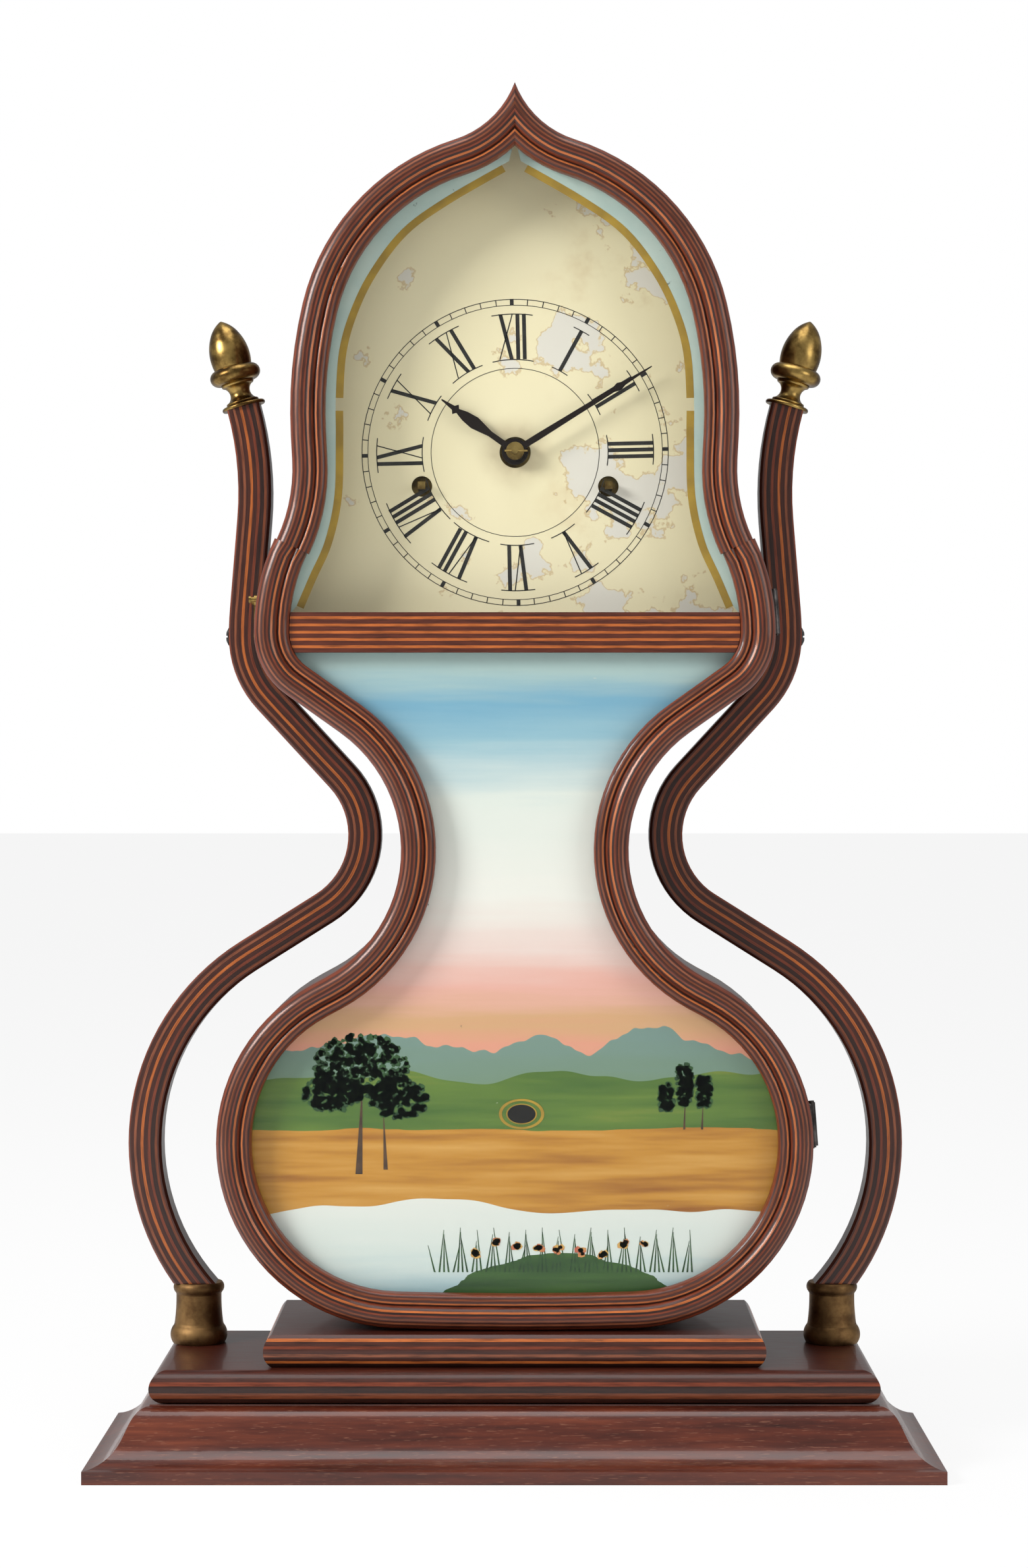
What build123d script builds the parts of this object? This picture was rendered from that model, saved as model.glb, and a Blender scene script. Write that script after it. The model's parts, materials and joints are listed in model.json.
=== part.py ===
"""An acorn-shaped laminated wood shelf clock with a hinged, glazed door.

Millimetres. The origin is at the bottom centre of the base, +Z is up and the dial faces -Y.
Half widths are measured from the clock's centre plane, x = 0.
"""
import os
from math import acos, asin, atan2, cos, degrees, hypot, pi, radians, sin, sqrt

from build123d import *

os.makedirs("parts", exist_ok=True)

# Base: an ogee moulding, a round-edged board and a smaller plinth board
base_width = 375.0
base_depth = 127.0
fillet_height = 5.7
moulding_height = 29.7
moulding_inset = 26.5
moulding_wood = 36.0
board_thickness = 14.8
board_half_width = 161.0
board_front_inset = 22.0
plinth_thickness = 14.5
plinth_half_width = 111.4
plinth_front_inset = 31.0
plinth_round = 3.5

# Outline of the door and case: round lobes, each met by the next on a common tangent
outline_bottom_gap = 0.4
bulge_half, bulge_z, bulge_low_r, bulge_high_r = 133.4, 142.5, 82.3, 80.0
waist_half, waist_z, waist_r = 50.8, 273.4, 64.7
shoulder_half, shoulder_z, shoulder_low_r, shoulder_high_r = 116.5, 371.0, 34.0, 99.0
neck_half, neck_z, neck_r = 99.3, 444.0, 74.0
head_half, head_z, head_r = 100.3, 470.0, 209.0
arch_r, arch_spring_z = 101.0, 518.0
cusp_r, tip_z = 42.0, 616.7

# Depths, as y of the faces
door_front_y = -23.5
door_thickness = 19.0
door_gap = 0.5
back_y = base_depth / 2
backboard_thickness = 6.0
case_wall = 9.0

# Door frame section
frame_width = 15.5
big_bead_width = 10.2
bead_side = 4.0
groove_depth = 3.2
small_bead_top = 2.2
inner_bead_side = 4.4
rabbet_depth = 10.0
rabbet_width = 4.0
glass_thickness = 2.0
glass_clear = 0.3
glazing_bead = 2.5

# Crossbar of the door
crossbar_z = 371.0
crossbar_height = 18.0
crossbar_front = 5.0
crossbar_web = 8.0
crossbar_clear = 0.3

# Bent arms
arm_width = 15.2
arm_depth = 15.6
arm_y = 34.5
arm_clear = 0.4
arm_edge = 1.2
arm_bulge_half, arm_bulge_z, arm_bulge_low_r, arm_bulge_high_r = 170.7, 137.4, 104.5, 101.8
arm_waist_half, arm_waist_z, arm_waist_r = 69.4, 279.3, 39.8
arm_shoulder_high_r = 150.0
arm_neck_half, arm_neck_z, arm_neck_r = 120.1, 437.0, 150.0
arm_top_z = 477.0
tenon_r = 4.5
tenon_clear = 0.05
tenon_into_board = 8.0

# Turned sockets and finials
socket_x = 146.5
socket_height = 28.0
socket_top_r = 11.7
socket_waist_r = 10.4
socket_base_r = 13.1
finial_length = 41.4
finial_flange_r = 10.1
finial_cap_r = 11.8
finial_nut_r = 9.2
stud_r = 2.4
stud_length = 12.0
arm_screw_head_r = 4.1
arm_screw_dome = 1.6
arm_screw_shank_r = 2.0
arm_screw_grip = 7.0

# Hinges on the right side: one axis that leans with the case
hinge_high_z = 380.6
hinge_low_z = 149.6
hinge_length = 19.5
knuckle_r = 1.7
hinge_stand_off = 1.3
leaf_thickness = 0.9
leaf_width = 10.0
hinge_pin_r = 0.8
pin_clear = 0.04
mortise_clear = 0.3
small_screw_r = 0.9
small_screw_head_r = 1.7
small_screw_length = 7.0

# Hook and pin on the left side
hook_z = 386.0
hook_y = 4.0
hook_length = 15.0
hook_width = 4.4
hook_thickness = 1.4
hook_pin_r = 1.1
hook_pin_length = 12.0
hook_screw_length = 9.0

# Dial
dial_y = 11.5
dial_thickness = 0.8
dial_edge_clear = 1.0
dial_bottom_z = 366.0
dial_centre_z = 454.2
dial_hole_r = 7.1
winding_x = 42.5
winding_hole_r = 4.7
block_size = 14.0
block_low_z = 398.0
block_high_z = 512.0

# Movement
front_plate_y = 22.0
plate_thickness = 1.8
plate_gap = 26.0
plate_half_width = 60.0
plate_low_z = 394.0
plate_high_z = 507.0
pillar_r = 3.5
pillar_screw_r = 2.0
pillar_high_x, pillar_high_z = 52.0, 494.0
pillar_low_x, pillar_low_z = 10.0, 402.0
arbor_r = 1.5
pivot_clear = 0.05
wheel_thickness = 1.8
arm_of_wheel = 3.0
train_module = 0.87
great_teeth = 96
pinion_leaves = 8
centre_teeth = 72
escape_leaves = 8
escape_module = 0.6
escape_teeth = 40
escape_r = 14.0
verge_gap = 6.0
great_wheel_y = 40.0
strike_wheel_y = 44.0
centre_wheel_y = 28.0
escape_wheel_y = 34.0
fly_angle = 80.0
drum_r = 10.0
drum_length = 12.0
drum_y = 25.5
winding_square = 3.4
wind_end_y = 5.0

# Motion work behind the dial
motion_module = 0.5
pipe_leaves = 14
minute_wheel_teeth = 42
minute_leaves = 10
hour_wheel_teeth = 40
pipe_r = 2.0
pipe_bore_r = 1.56
hour_pipe_r = 3.0
hour_bore_r = 2.06
hour_hand_y = 7.2
minute_hand_y = 4.4
hand_thickness = 0.6
hour_hand_length = 41.0
minute_hand_length = 73.0
washer_r = 4.1

# Pendulum
pendulum_y = 54.0
bob_z = 154.0
bob_r = 15.0
bob_thickness = 5.0
rod_r = 0.8

# Springs and wooden cones low in the case
cone_x = 46.0
cone_z = 122.0
cone_big_r = 27.0
cone_small_r = 13.0
cone_front_y = 22.0
cone_length = 13.0
barrel_r = 29.0
barrel_length = 12.0
cone_arbor_r = 3.0
frame_plate = 2.4
cord_r = 0.7

# Gong and hammer
gong_x = 16.0
gong_z = 228.0
gong_y = 43.0
gong_r = 23.0
gong_wire_r = 0.9
gong_pitch = 3.4
gong_turns = 3
hammer_x, hammer_z = -20.0, 399.0
hammer_head_x, hammer_head_z = -13.1, 232.0
hammer_y = 43.0

# Heights and depths that follow from the sizes above
board_bottom = moulding_height
board_top = board_bottom + board_thickness
plinth_top = board_top + plinth_thickness
outline_bottom = plinth_top + outline_bottom_gap
door_back_y = door_front_y + door_thickness
case_front_y = door_back_y + door_gap
case_back_y = back_y - backboard_thickness
back_plate_y = front_plate_y + plate_thickness + plate_gap
socket_top = board_top + socket_height
glass_y = door_front_y + rabbet_depth
glass_inset = frame_width - rabbet_width + glass_clear
winding_z = dial_centre_z - sqrt((great_teeth + pinion_leaves) ** 2 * train_module**2 / 4 - winding_x**2)


def plane_at(y):
    """A drawing plane that faces the front at depth y; its own up is +Z."""
    return Plane.XZ.offset(-y)


def touch(a, b):
    """Where an outline leaves lobe a and enters lobe b: (x, z, normal x, normal z) stations.

    A lobe is (x, z, radius, side), with side 1 where it swells outwards and -1 where it dips in.
    """
    ax, az, ar, a_side = a
    bx, bz, br, b_side = b
    dx, dz = bx - ax, bz - az
    if a_side == b_side:
        share = a_side / (ar - br)
        nx, nz = dx * share, dz * share
        return [(ax + a_side * ar * nx, az + a_side * ar * nz, nx, nz)]
    apart = hypot(dx, dz)
    spread = acos(max(-1.0, min(1.0, (a_side * ar - b_side * br) / apart)))
    stations = []
    for turn in (spread, -spread):
        angle = atan2(dz, dx) + turn
        nx, nz = cos(angle), sin(angle)
        px, pz = ax + a_side * ar * nx, az + a_side * ar * nz
        qx, qz = bx + b_side * br * nx, bz + b_side * br * nz
        if (qz - pz) * nx - (qx - px) * nz >= -1e-6:
            stations = [(px, pz, nx, nz), (qx, qz, nx, nz)]
    return stations


def arc_between(lobe, start, end):
    """Start, middle and end of the stretch of a lobe between two stations."""
    x, z, r, side = lobe
    nx, nz = start[2] + end[2], start[3] + end[3]
    size = hypot(nx, nz)
    return [start[:2], (x + side * r * nx / size, z + side * r * nz / size), end[:2]]


def run_of(lobes, start, end):
    """Lines and arcs from start, along every lobe in turn, to end."""
    run = []
    here = start
    for lobe, following in zip(lobes, lobes[1:]):
        stations = touch(lobe, following)
        run.append(arc_between(lobe, here, stations[0]))
        if len(stations) == 2 and hypot(stations[1][0] - stations[0][0], stations[1][1] - stations[0][1]) > 0.01:
            run.append([stations[0][:2], stations[1][:2]])
        here = stations[-1]
    run.append(arc_between(lobes[-1], here, end))
    return run


def draw(run):
    """Draw a run in the line being built."""
    for piece in run:
        if len(piece) == 2:
            Line(*piece)
        else:
            ThreePointArc(*piece)


# Centres of the outline's top lobes
head_x = head_half - head_r
spring_angle = asin((arch_spring_z - head_z) / head_r)
arch_x = head_x + (head_r - arch_r) * cos(spring_angle)
arch_z = head_z + (head_r - arch_r) * sin(spring_angle)
tip_apart = hypot(arch_x, arch_z - tip_z)
tip_along = ((arch_r + cusp_r) ** 2 - cusp_r**2 + tip_apart**2) / (2 * tip_apart)
tip_across = sqrt((arch_r + cusp_r) ** 2 - tip_along**2)
cusp_x = arch_x - tip_along * arch_x / tip_apart + tip_across * (tip_z - arch_z) / tip_apart
cusp_z = arch_z + tip_along * (tip_z - arch_z) / tip_apart + tip_across * arch_x / tip_apart
bottom_r = (bulge_low_r**2 - (bulge_half - bulge_low_r) ** 2 - (outline_bottom - bulge_z) ** 2) / (
    2 * (outline_bottom - bulge_z + bulge_low_r)
)
outline_lobes = [
    (0.0, outline_bottom + bottom_r, bottom_r, 1),
    (bulge_half - bulge_low_r, bulge_z, bulge_low_r, 1),
    (bulge_half - bulge_high_r, bulge_z, bulge_high_r, 1),
    (waist_half + waist_r, waist_z, waist_r, -1),
    (shoulder_half - shoulder_low_r, shoulder_z, shoulder_low_r, 1),
    (shoulder_half - shoulder_high_r, shoulder_z, shoulder_high_r, 1),
    (neck_half + neck_r, neck_z, neck_r, -1),
    (head_x, head_z, head_r, 1),
    (arch_x, arch_z, arch_r, 1),
    (cusp_x, cusp_z, cusp_r, -1),
]


def outline_run(inset, beyond=0.0):
    """Right half of the outline moved in by inset, from the bottom centre to x = -beyond at the tip."""
    lobes = [(x, z, r - side * inset, side) for x, z, r, side in outline_lobes]
    x, z, r, side = lobes[-1]
    end_z = z - sqrt(r**2 - (x + beyond) ** 2)
    end = (-beyond, end_z, (x + beyond) / r, (z - end_z) / r)
    return run_of(lobes, (0.0, outline_bottom + inset, 0.0, -1.0), end)


def outline_x(z, lobe_index, inset=0.0):
    """Half width of one swelling lobe of the outline at height z."""
    x, lobe_z, r, side = outline_lobes[lobe_index]
    return x + sqrt((r - inset) ** 2 - (z - lobe_z) ** 2)


def tip_height(inset):
    """Height of the outline's tip when it is moved in by inset."""
    return outline_run(inset)[-1][2][1]


def outline_sketch(inset):
    """The whole outline as a face, moved in by inset."""
    with BuildSketch() as face:
        with BuildLine():
            draw(outline_run(inset))
            mirror(about=Plane.YZ)
        make_face()
    return face.sketch


def save(part, name):
    """Label a finished piece and write it under its name."""
    part.label = name
    export_step(part, f"parts/{name}.step")


outer_face = outline_sketch(0.0)
case_inner_face = outline_sketch(case_wall)
glass_face = outline_sketch(glass_inset)

# Base mouldings: the front strip and two returns, mitred at the front corners
half_width = base_width / 2
profile = [
    (2.5, fillet_height + 0.3),
    (8.0, fillet_height + 2.4),
    (12.7, fillet_height + 6.4),
    (15.8, fillet_height + 11.4),
    (18.4, fillet_height + 17.0),
    (21.4, fillet_height + 21.3),
]


def moulding_section():
    """Section of the moulding: inset to the right, height up."""
    with BuildSketch() as section:
        with BuildLine():
            Line((0, 0), (0, fillet_height))
            Line((0, fillet_height), profile[0])
            Spline(*profile, (moulding_inset, moulding_height - 0.6))
            Line((moulding_inset, moulding_height - 0.6), (moulding_inset, moulding_height))
            Line((moulding_inset, moulding_height), (moulding_wood, moulding_height))
            Line((moulding_wood, moulding_height), (moulding_wood, 0))
            Line((moulding_wood, 0), (0, 0))
        make_face()
    return section.sketch


section_face = moulding_section()
front_corner = -base_depth / 2
with BuildPart() as base_front_moulding:
    with BuildSketch(Plane((-half_width, front_corner, 0), x_dir=(0, 1, 0), z_dir=(1, 0, 0))):
        add(section_face)
    extrude(amount=base_width)
    with BuildSketch(Plane.XY):
        with BuildLine():
            Polyline(
                (-half_width, front_corner),
                (half_width, front_corner),
                (half_width - moulding_wood, front_corner + moulding_wood),
                (-half_width + moulding_wood, front_corner + moulding_wood),
                close=True,
            )
        make_face()
    extrude(amount=moulding_height, mode=Mode.INTERSECT)
save(base_front_moulding.part, "base_front_moulding")

with BuildPart() as base_side_mouldings:
    with BuildSketch(Plane((half_width, front_corner, 0), x_dir=(-1, 0, 0), z_dir=(0, 1, 0))):
        add(section_face)
    extrude(amount=base_depth)
    with BuildSketch(Plane.XY):
        with BuildLine():
            Polyline(
                (half_width, front_corner),
                (half_width, back_y),
                (half_width - moulding_wood, back_y),
                (half_width - moulding_wood, front_corner + moulding_wood),
                close=True,
            )
        make_face()
    extrude(amount=moulding_height, mode=Mode.INTERSECT)
    mirror(about=Plane.YZ)
save(base_side_mouldings.part, "base_side_mouldings")


def board_end(half, thickness, bulge, square=False):
    """Section of a round-edged board; one end is square where it meets the back."""
    reach = thickness / 2
    with BuildSketch() as section:
        with BuildLine():
            Line((-half + bulge, 0), (half - (0 if square else bulge), 0))
            if square:
                Line((half, 0), (half, thickness))
            else:
                ThreePointArc((half - bulge, 0), (half, reach), (half - bulge, thickness))
            Line((half - (0 if square else bulge), thickness), (-half + bulge, thickness))
            ThreePointArc((-half + bulge, thickness), (-half, reach), (-half + bulge, 0))
        make_face()
    return section.sketch


def round_board(half, front_y, thickness, bulge, bottom):
    """A board with round front and side edges that meet in mitres, square at the back."""
    depth_half = (back_y - front_y) / 2
    middle_y = (back_y + front_y) / 2
    across = board_end(half, thickness, bulge)
    along = board_end(depth_half, thickness, bulge, square=True)
    with BuildPart() as board:
        with BuildSketch(Plane((0, back_y, bottom), x_dir=(1, 0, 0), z_dir=(0, -1, 0))):
            add(across)
        extrude(amount=back_y - front_y)
        with BuildSketch(Plane((-half, middle_y, bottom), x_dir=(0, 1, 0), z_dir=(1, 0, 0))):
            add(along)
        extrude(amount=2 * half, mode=Mode.INTERSECT)
    return board.part


# Base board, with a hole for each arm's tenon
board_front_y = front_corner + board_front_inset
plinth_front_y = front_corner + plinth_front_inset
plain_board = round_board(board_half_width, board_front_y, board_thickness, board_thickness / 2 - 0.2, board_bottom)
with BuildPart() as base_board:
    add(plain_board)
    with Locations(Plane((0, arm_y, board_top))):
        with Locations((socket_x, 0), (-socket_x, 0)):
            Hole(radius=tenon_r + tenon_clear, depth=tenon_into_board + 0.5)
save(base_board.part, "base_board")

plain_plinth = round_board(plinth_half_width, plinth_front_y, plinth_thickness, plinth_round, board_top)
foot_screw_r = 2.2
foot_screw_x = 36.0
foot_screw_y = 28.0
with BuildPart() as plinth_board:
    add(plain_plinth)
save(plinth_board.part, "plinth_board")

# Case: two bent laminated halves that meet at the tip and at the bottom
case_depth = case_back_y - case_front_y
high_point = Vector(outline_x(hinge_high_z, 5), 0, hinge_high_z)
low_point = Vector(outline_x(hinge_low_z, 2), 0, hinge_low_z)
lean = atan2(low_point.X - high_point.X, hinge_high_z - hinge_low_z)
hinge_axis = Vector(-sin(lean), 0, cos(lean))
hinge_out = Vector(cos(lean), 0, sin(lean))
hinge_y = (door_back_y + case_front_y) / 2


def hinge_plane(point):
    """Plane at a hinge's middle: x points out of the case, z runs along the pin."""
    middle = point + hinge_out * hinge_stand_off
    return Plane((middle.X, hinge_y, middle.Z), x_dir=tuple(hinge_out), z_dir=tuple(hinge_axis))


hinge_places = [hinge_plane(high_point), hinge_plane(low_point)]


def small_screw(plane):
    """A small countersunk screw whose head lies in the plane, driven against its normal."""
    with BuildPart() as screw:
        with BuildSketch(plane):
            Circle(small_screw_head_r)
        with BuildSketch(plane.offset(-small_screw_head_r + small_screw_r)):
            Circle(small_screw_r)
        loft()
        with BuildSketch(plane.offset(-small_screw_head_r + small_screw_r)):
            Circle(small_screw_r)
        extrude(amount=-small_screw_length)
    return screw.part


def screw_planes(place, side):
    """Planes of a leaf's two screw heads."""
    out = -knuckle_r + leaf_thickness
    return [
        Plane(
            place.from_local_coords(Vector(out, side * (leaf_width - 3.2), along * hinge_length / 4)),
            x_dir=(0, 1, 0),
            z_dir=tuple(place.x_dir),
        )
        for along in (1, -1)
    ]


def hinge_mortise(side):
    """Pockets for the leaves, knuckles and screws; side 1 is the case's leaf and -1 the door's."""
    with BuildPart() as pocket:
        for place in hinge_places:
            foot = place.offset(-hinge_length / 2 - mortise_clear)
            with BuildSketch(foot):
                Circle(knuckle_r + mortise_clear)
                with Locations((-knuckle_r + 3.0, side * (leaf_width + 0.1) / 2)):
                    Rectangle(6.0, leaf_width + 0.1)
            extrude(amount=hinge_length + 2 * mortise_clear)
            for head in screw_planes(place, side):
                add(small_screw(head))
    return pocket.part


case_mortise = hinge_mortise(1)
door_mortise = hinge_mortise(-1)
arm_screw_z = shoulder_z


def case_half(inset_in):
    """Right half of the case's bent side as a face."""
    with BuildSketch() as face:
        with BuildLine():
            draw(outline_run(0.0))
            draw(outline_run(inset_in))
            Line((0, outline_bottom), (0, outline_bottom + inset_in))
            Line((0, tip_height(0.0)), (0, tip_height(inset_in)))
        make_face()
    return face.sketch


case_half_face = case_half(case_wall)
with BuildPart() as case_blank:
    with BuildSketch(plane_at(case_back_y)):
        add(case_half_face)
    extrude(amount=case_depth)
    with Locations(Plane((shoulder_half + 1, arm_y, arm_screw_z), z_dir=(1, 0, 0))):
        Hole(radius=arm_screw_shank_r, depth=arm_screw_grip + 1)

with BuildPart() as case_side_right:
    add(case_blank.part)
    add(case_mortise, mode=Mode.SUBTRACT)
save(case_side_right.part, "case_side_right")

# The hook stands a little off the case's side at its widest point beside the hook
hook_span = hook_length + hook_width
hook_x = max(outline_x(hook_z - hook_span * k / 4, 5) for k in range(-1, 5)) + 0.4
hook_screw_head_x = hook_x + hook_thickness + 0.2
with BuildPart() as case_side_left:
    add(mirror(case_blank.part, about=Plane.YZ, mode=Mode.PRIVATE))
    with Locations(Plane((-hook_screw_head_x, hook_y, hook_z), z_dir=(-1, 0, 0))):
        Hole(radius=small_screw_r, depth=hook_screw_length + 0.3)
save(case_side_left.part, "case_side_left")

with BuildPart() as backboard:
    with BuildSketch(plane_at(back_y)):
        add(outer_face)
    extrude(amount=backboard_thickness)
save(backboard.part, "backboard")

# Door frame: one bent strip with two beads on its face and a rabbet behind, mitred at the tip
frame_start = Plane((0, door_front_y, outline_bottom), x_dir=(0, 0, 1), z_dir=(1, 0, 0))


def frame_path():
    """The outline's right half, carried a little past the tip so that the mitre can be cut."""
    with BuildLine(plane_at(door_front_y)) as path:
        draw(outline_run(0.0, beyond=1.5))
    return path.wires()[0]


with BuildPart() as frame_half:
    with BuildSketch(frame_start):
        with BuildLine():
            Line((0, -door_thickness), (0, -bead_side))
            ThreePointArc((0, -bead_side), (big_bead_width * 0.45, 0), (big_bead_width, -groove_depth))
            ThreePointArc(
                (big_bead_width, -groove_depth),
                ((big_bead_width + frame_width) / 2, -small_bead_top),
                (frame_width, -inner_bead_side),
            )
            Line((frame_width, -inner_bead_side), (frame_width, -rabbet_depth))
            Line((frame_width, -rabbet_depth), (frame_width - rabbet_width, -rabbet_depth))
            Line((frame_width - rabbet_width, -rabbet_depth), (frame_width - rabbet_width, -door_thickness))
            Line((frame_width - rabbet_width, -door_thickness), (0, -door_thickness))
        make_face()
    sweep(path=frame_path())
    split(bisect_by=Plane.YZ, keep=Keep.TOP)

with BuildPart() as door_frame:
    add(frame_half.part)
    mirror(about=Plane.YZ)
    add(door_mortise, mode=Mode.SUBTRACT)
    with Locations(Plane((-hook_screw_head_x, hook_y - hook_length, hook_z), z_dir=(-1, 0, 0))):
        Hole(radius=hook_pin_r, depth=hook_pin_length + 0.3)
save(door_frame.part, "door_frame")

# Crossbar: a striped flat bar in front and a narrow web between the two panes, cut to the frame's curve
with BuildPart() as door_crossbar:
    with BuildSketch(plane_at(glass_y)):
        add(outline_sketch(frame_width + crossbar_clear))
        with Locations((0, crossbar_z)):
            Rectangle(base_width, crossbar_height, mode=Mode.INTERSECT)
    extrude(amount=rabbet_depth - crossbar_front)
    with BuildSketch(plane_at(door_back_y)):
        add(outline_sketch(frame_width - rabbet_width + crossbar_clear))
        with Locations((0, crossbar_z)):
            Rectangle(base_width, crossbar_web, mode=Mode.INTERSECT)
    extrude(amount=door_thickness - rabbet_depth)
save(door_crossbar.part, "door_crossbar")


def pane(name, sign):
    """One pane above (sign 1) or below (sign -1) the crossbar, and the bead that holds it."""
    edge_z = crossbar_z + sign * (crossbar_web / 2 + glass_clear)
    bead_edge_z = edge_z + sign * glazing_bead
    with BuildPart() as glass:
        with BuildSketch(plane_at(glass_y + glass_thickness)):
            add(glass_face)
            with Locations((0, edge_z + sign * tip_z / 2)):
                Rectangle(base_width, tip_z, mode=Mode.INTERSECT)
        extrude(amount=glass_thickness)
    save(glass.part, name)
    with BuildPart() as bead:
        with BuildSketch(plane_at(glass_y + glass_thickness + glazing_bead)):
            add(glass_face)
            with Locations((0, edge_z + sign * tip_z / 2)):
                Rectangle(base_width, tip_z, mode=Mode.INTERSECT)
        extrude(amount=glazing_bead)
        with BuildSketch(plane_at(glass_y + glass_thickness + glazing_bead)):
            add(outline_sketch(glass_inset + glazing_bead))
            with Locations((0, bead_edge_z + sign * tip_z / 2)):
                Rectangle(base_width, tip_z, mode=Mode.INTERSECT)
        extrude(amount=glazing_bead, mode=Mode.SUBTRACT)
    return bead.part


save(pane("upper_glass", 1), "upper_glazing_bead")
save(pane("lower_tablet", -1), "lower_glazing_bead")

# Bent arms: lobes of the centre line, foot on the socket and top square to the leaning finial
arm_shoulder_half = shoulder_half + arm_clear + arm_width / 2
arm_shoulder_low_r = shoulder_low_r + arm_clear + arm_width / 2
arm_lobes = [
    (arm_bulge_half - arm_bulge_low_r, arm_bulge_z, arm_bulge_low_r, 1),
    (arm_bulge_half - arm_bulge_high_r, arm_bulge_z, arm_bulge_high_r, 1),
    (arm_waist_half + arm_waist_r, arm_waist_z, arm_waist_r, -1),
    (arm_shoulder_half - arm_shoulder_low_r, shoulder_z, arm_shoulder_low_r, 1),
    (arm_shoulder_half - arm_shoulder_high_r, shoulder_z, arm_shoulder_high_r, 1),
    (arm_neck_half + arm_neck_r, arm_neck_z, arm_neck_r, -1),
]
finial_lean = asin((arm_top_z - arm_neck_z) / arm_neck_r)


def arm_run(inset):
    """One side of the arm, moved inwards from the centre line by inset."""
    lobes = [(x, z, r - side * inset, side) for x, z, r, side in arm_lobes]
    x, z, r, side = lobes[0]
    foot_x = sqrt(r**2 - (socket_top - z) ** 2)
    start = (x + foot_x, socket_top, foot_x / r, (socket_top - z) / r)
    x, z, r, side = lobes[-1]
    nx, nz = cos(finial_lean), -sin(finial_lean)
    return run_of(lobes, start, (x - r * nx, z - r * nz, nx, nz))


arm_inner = arm_run(arm_width / 2)
arm_outer = arm_run(-arm_width / 2)
arm_end = Vector(*[(a + b) / 2 for a, b in zip(arm_inner[-1][-1], arm_outer[-1][-1])])
arm_top_point = Vector(arm_end.X, arm_y, arm_end.Y)
arm_top_plane = Plane(
    arm_top_point,
    x_dir=(cos(finial_lean), 0, -sin(finial_lean)),
    z_dir=(sin(finial_lean), 0, cos(finial_lean)),
)
arm_outer_x = shoulder_half + arm_clear + arm_width
with BuildPart() as right_arm:
    with BuildSketch(plane_at(arm_y + arm_depth / 2)):
        with BuildLine():
            draw(arm_inner)
            draw(arm_outer)
            Line(arm_inner[0][0], arm_outer[0][0])
            Line(arm_inner[-1][-1], arm_outer[-1][-1])
        make_face()
    extrude(amount=arm_depth)
    face_edges = right_arm.faces().sort_by(Axis.Y)[0].edges() + right_arm.faces().sort_by(Axis.Y)[-1].edges()
    chamfer(face_edges.filter_by(lambda e: e.length > arm_width * 1.3), length=arm_edge)
    with BuildSketch(Plane((socket_x, arm_y, socket_top))):
        Circle(tenon_r)
    extrude(amount=-(socket_height + tenon_into_board))
    with Locations(arm_top_plane):
        Hole(radius=stud_r + tenon_clear, depth=stud_length + 0.5)
    with Locations(Plane((arm_outer_x + 1, arm_y, arm_screw_z), z_dir=(1, 0, 0))):
        Hole(radius=arm_screw_shank_r + 0.2, depth=arm_width + arm_clear + 2)
save(right_arm.part, "right_arm")
save(mirror(right_arm.part, about=Plane.YZ, mode=Mode.PRIVATE), "left_arm")

# Turned sockets
with BuildPart() as right_arm_socket:
    with BuildSketch(Plane.XZ):
        with BuildLine():
            Line((tenon_r + tenon_clear, 0), (socket_base_r - 1.2, 0))
            ThreePointArc((socket_base_r - 1.2, 0), (socket_base_r, 4.0), (socket_base_r - 1.6, 8.2))
            Line((socket_base_r - 1.6, 8.2), (socket_base_r - 1.9, 9.2))
            ThreePointArc((socket_base_r - 1.9, 9.2), (socket_waist_r + 0.2, 15.0), (socket_waist_r, 22.6))
            Line((socket_waist_r, 22.6), (socket_top_r - 0.9, 23.4))
            ThreePointArc(
                (socket_top_r - 0.9, 23.4),
                (socket_top_r, 25.6),
                (socket_top_r - 1.0, socket_height),
            )
            Line((socket_top_r - 1.0, socket_height), (tenon_r + tenon_clear, socket_height))
            Line((tenon_r + tenon_clear, socket_height), (tenon_r + tenon_clear, 0))
        make_face()
    revolve(axis=Axis.Z)
socket_at = Plane((socket_x, arm_y, board_top)).location
save(right_arm_socket.part.moved(socket_at), "right_arm_socket")
save(mirror(right_arm_socket.part.moved(socket_at), about=Plane.YZ, mode=Mode.PRIVATE), "left_arm_socket")

# Acorn finials, turned about their own axis and set on the arms' leaning tops
with BuildPart() as finial:
    with BuildSketch(Plane.XZ):
        with BuildLine():
            Line((0, -stud_length), (stud_r, -stud_length))
            Line((stud_r, -stud_length), (stud_r, 0))
            Line((stud_r, 0), (finial_flange_r - 0.3, 0))
            ThreePointArc((finial_flange_r - 0.3, 0), (finial_flange_r, 0.9), (finial_flange_r - 0.6, 1.7))
            Line((finial_flange_r - 0.6, 1.7), (7.3, 2.1))
            ThreePointArc((7.3, 2.1), (7.6, 2.8), (6.9, 3.4))
            ThreePointArc((6.9, 3.4), (4.7, 7.0), (6.6, 10.6))
            ThreePointArc((6.6, 10.6), (7.5, 11.2), (7.4, 12.2))
            ThreePointArc((7.4, 12.2), (finial_cap_r, 16.0), (8.7, 19.4))
            ThreePointArc((8.7, 19.4), (finial_nut_r, 26.5), (6.9, 34.4))
            ThreePointArc((6.9, 34.4), (4.0, 38.6), (0.4, finial_length - 0.1))
            Line((0.4, finial_length - 0.1), (0, finial_length))
            Line((0, finial_length), (0, -stud_length))
        make_face()
    revolve(axis=Axis.Z)
finial_at = arm_top_plane.location
save(finial.part.moved(finial_at), "right_finial")
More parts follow.
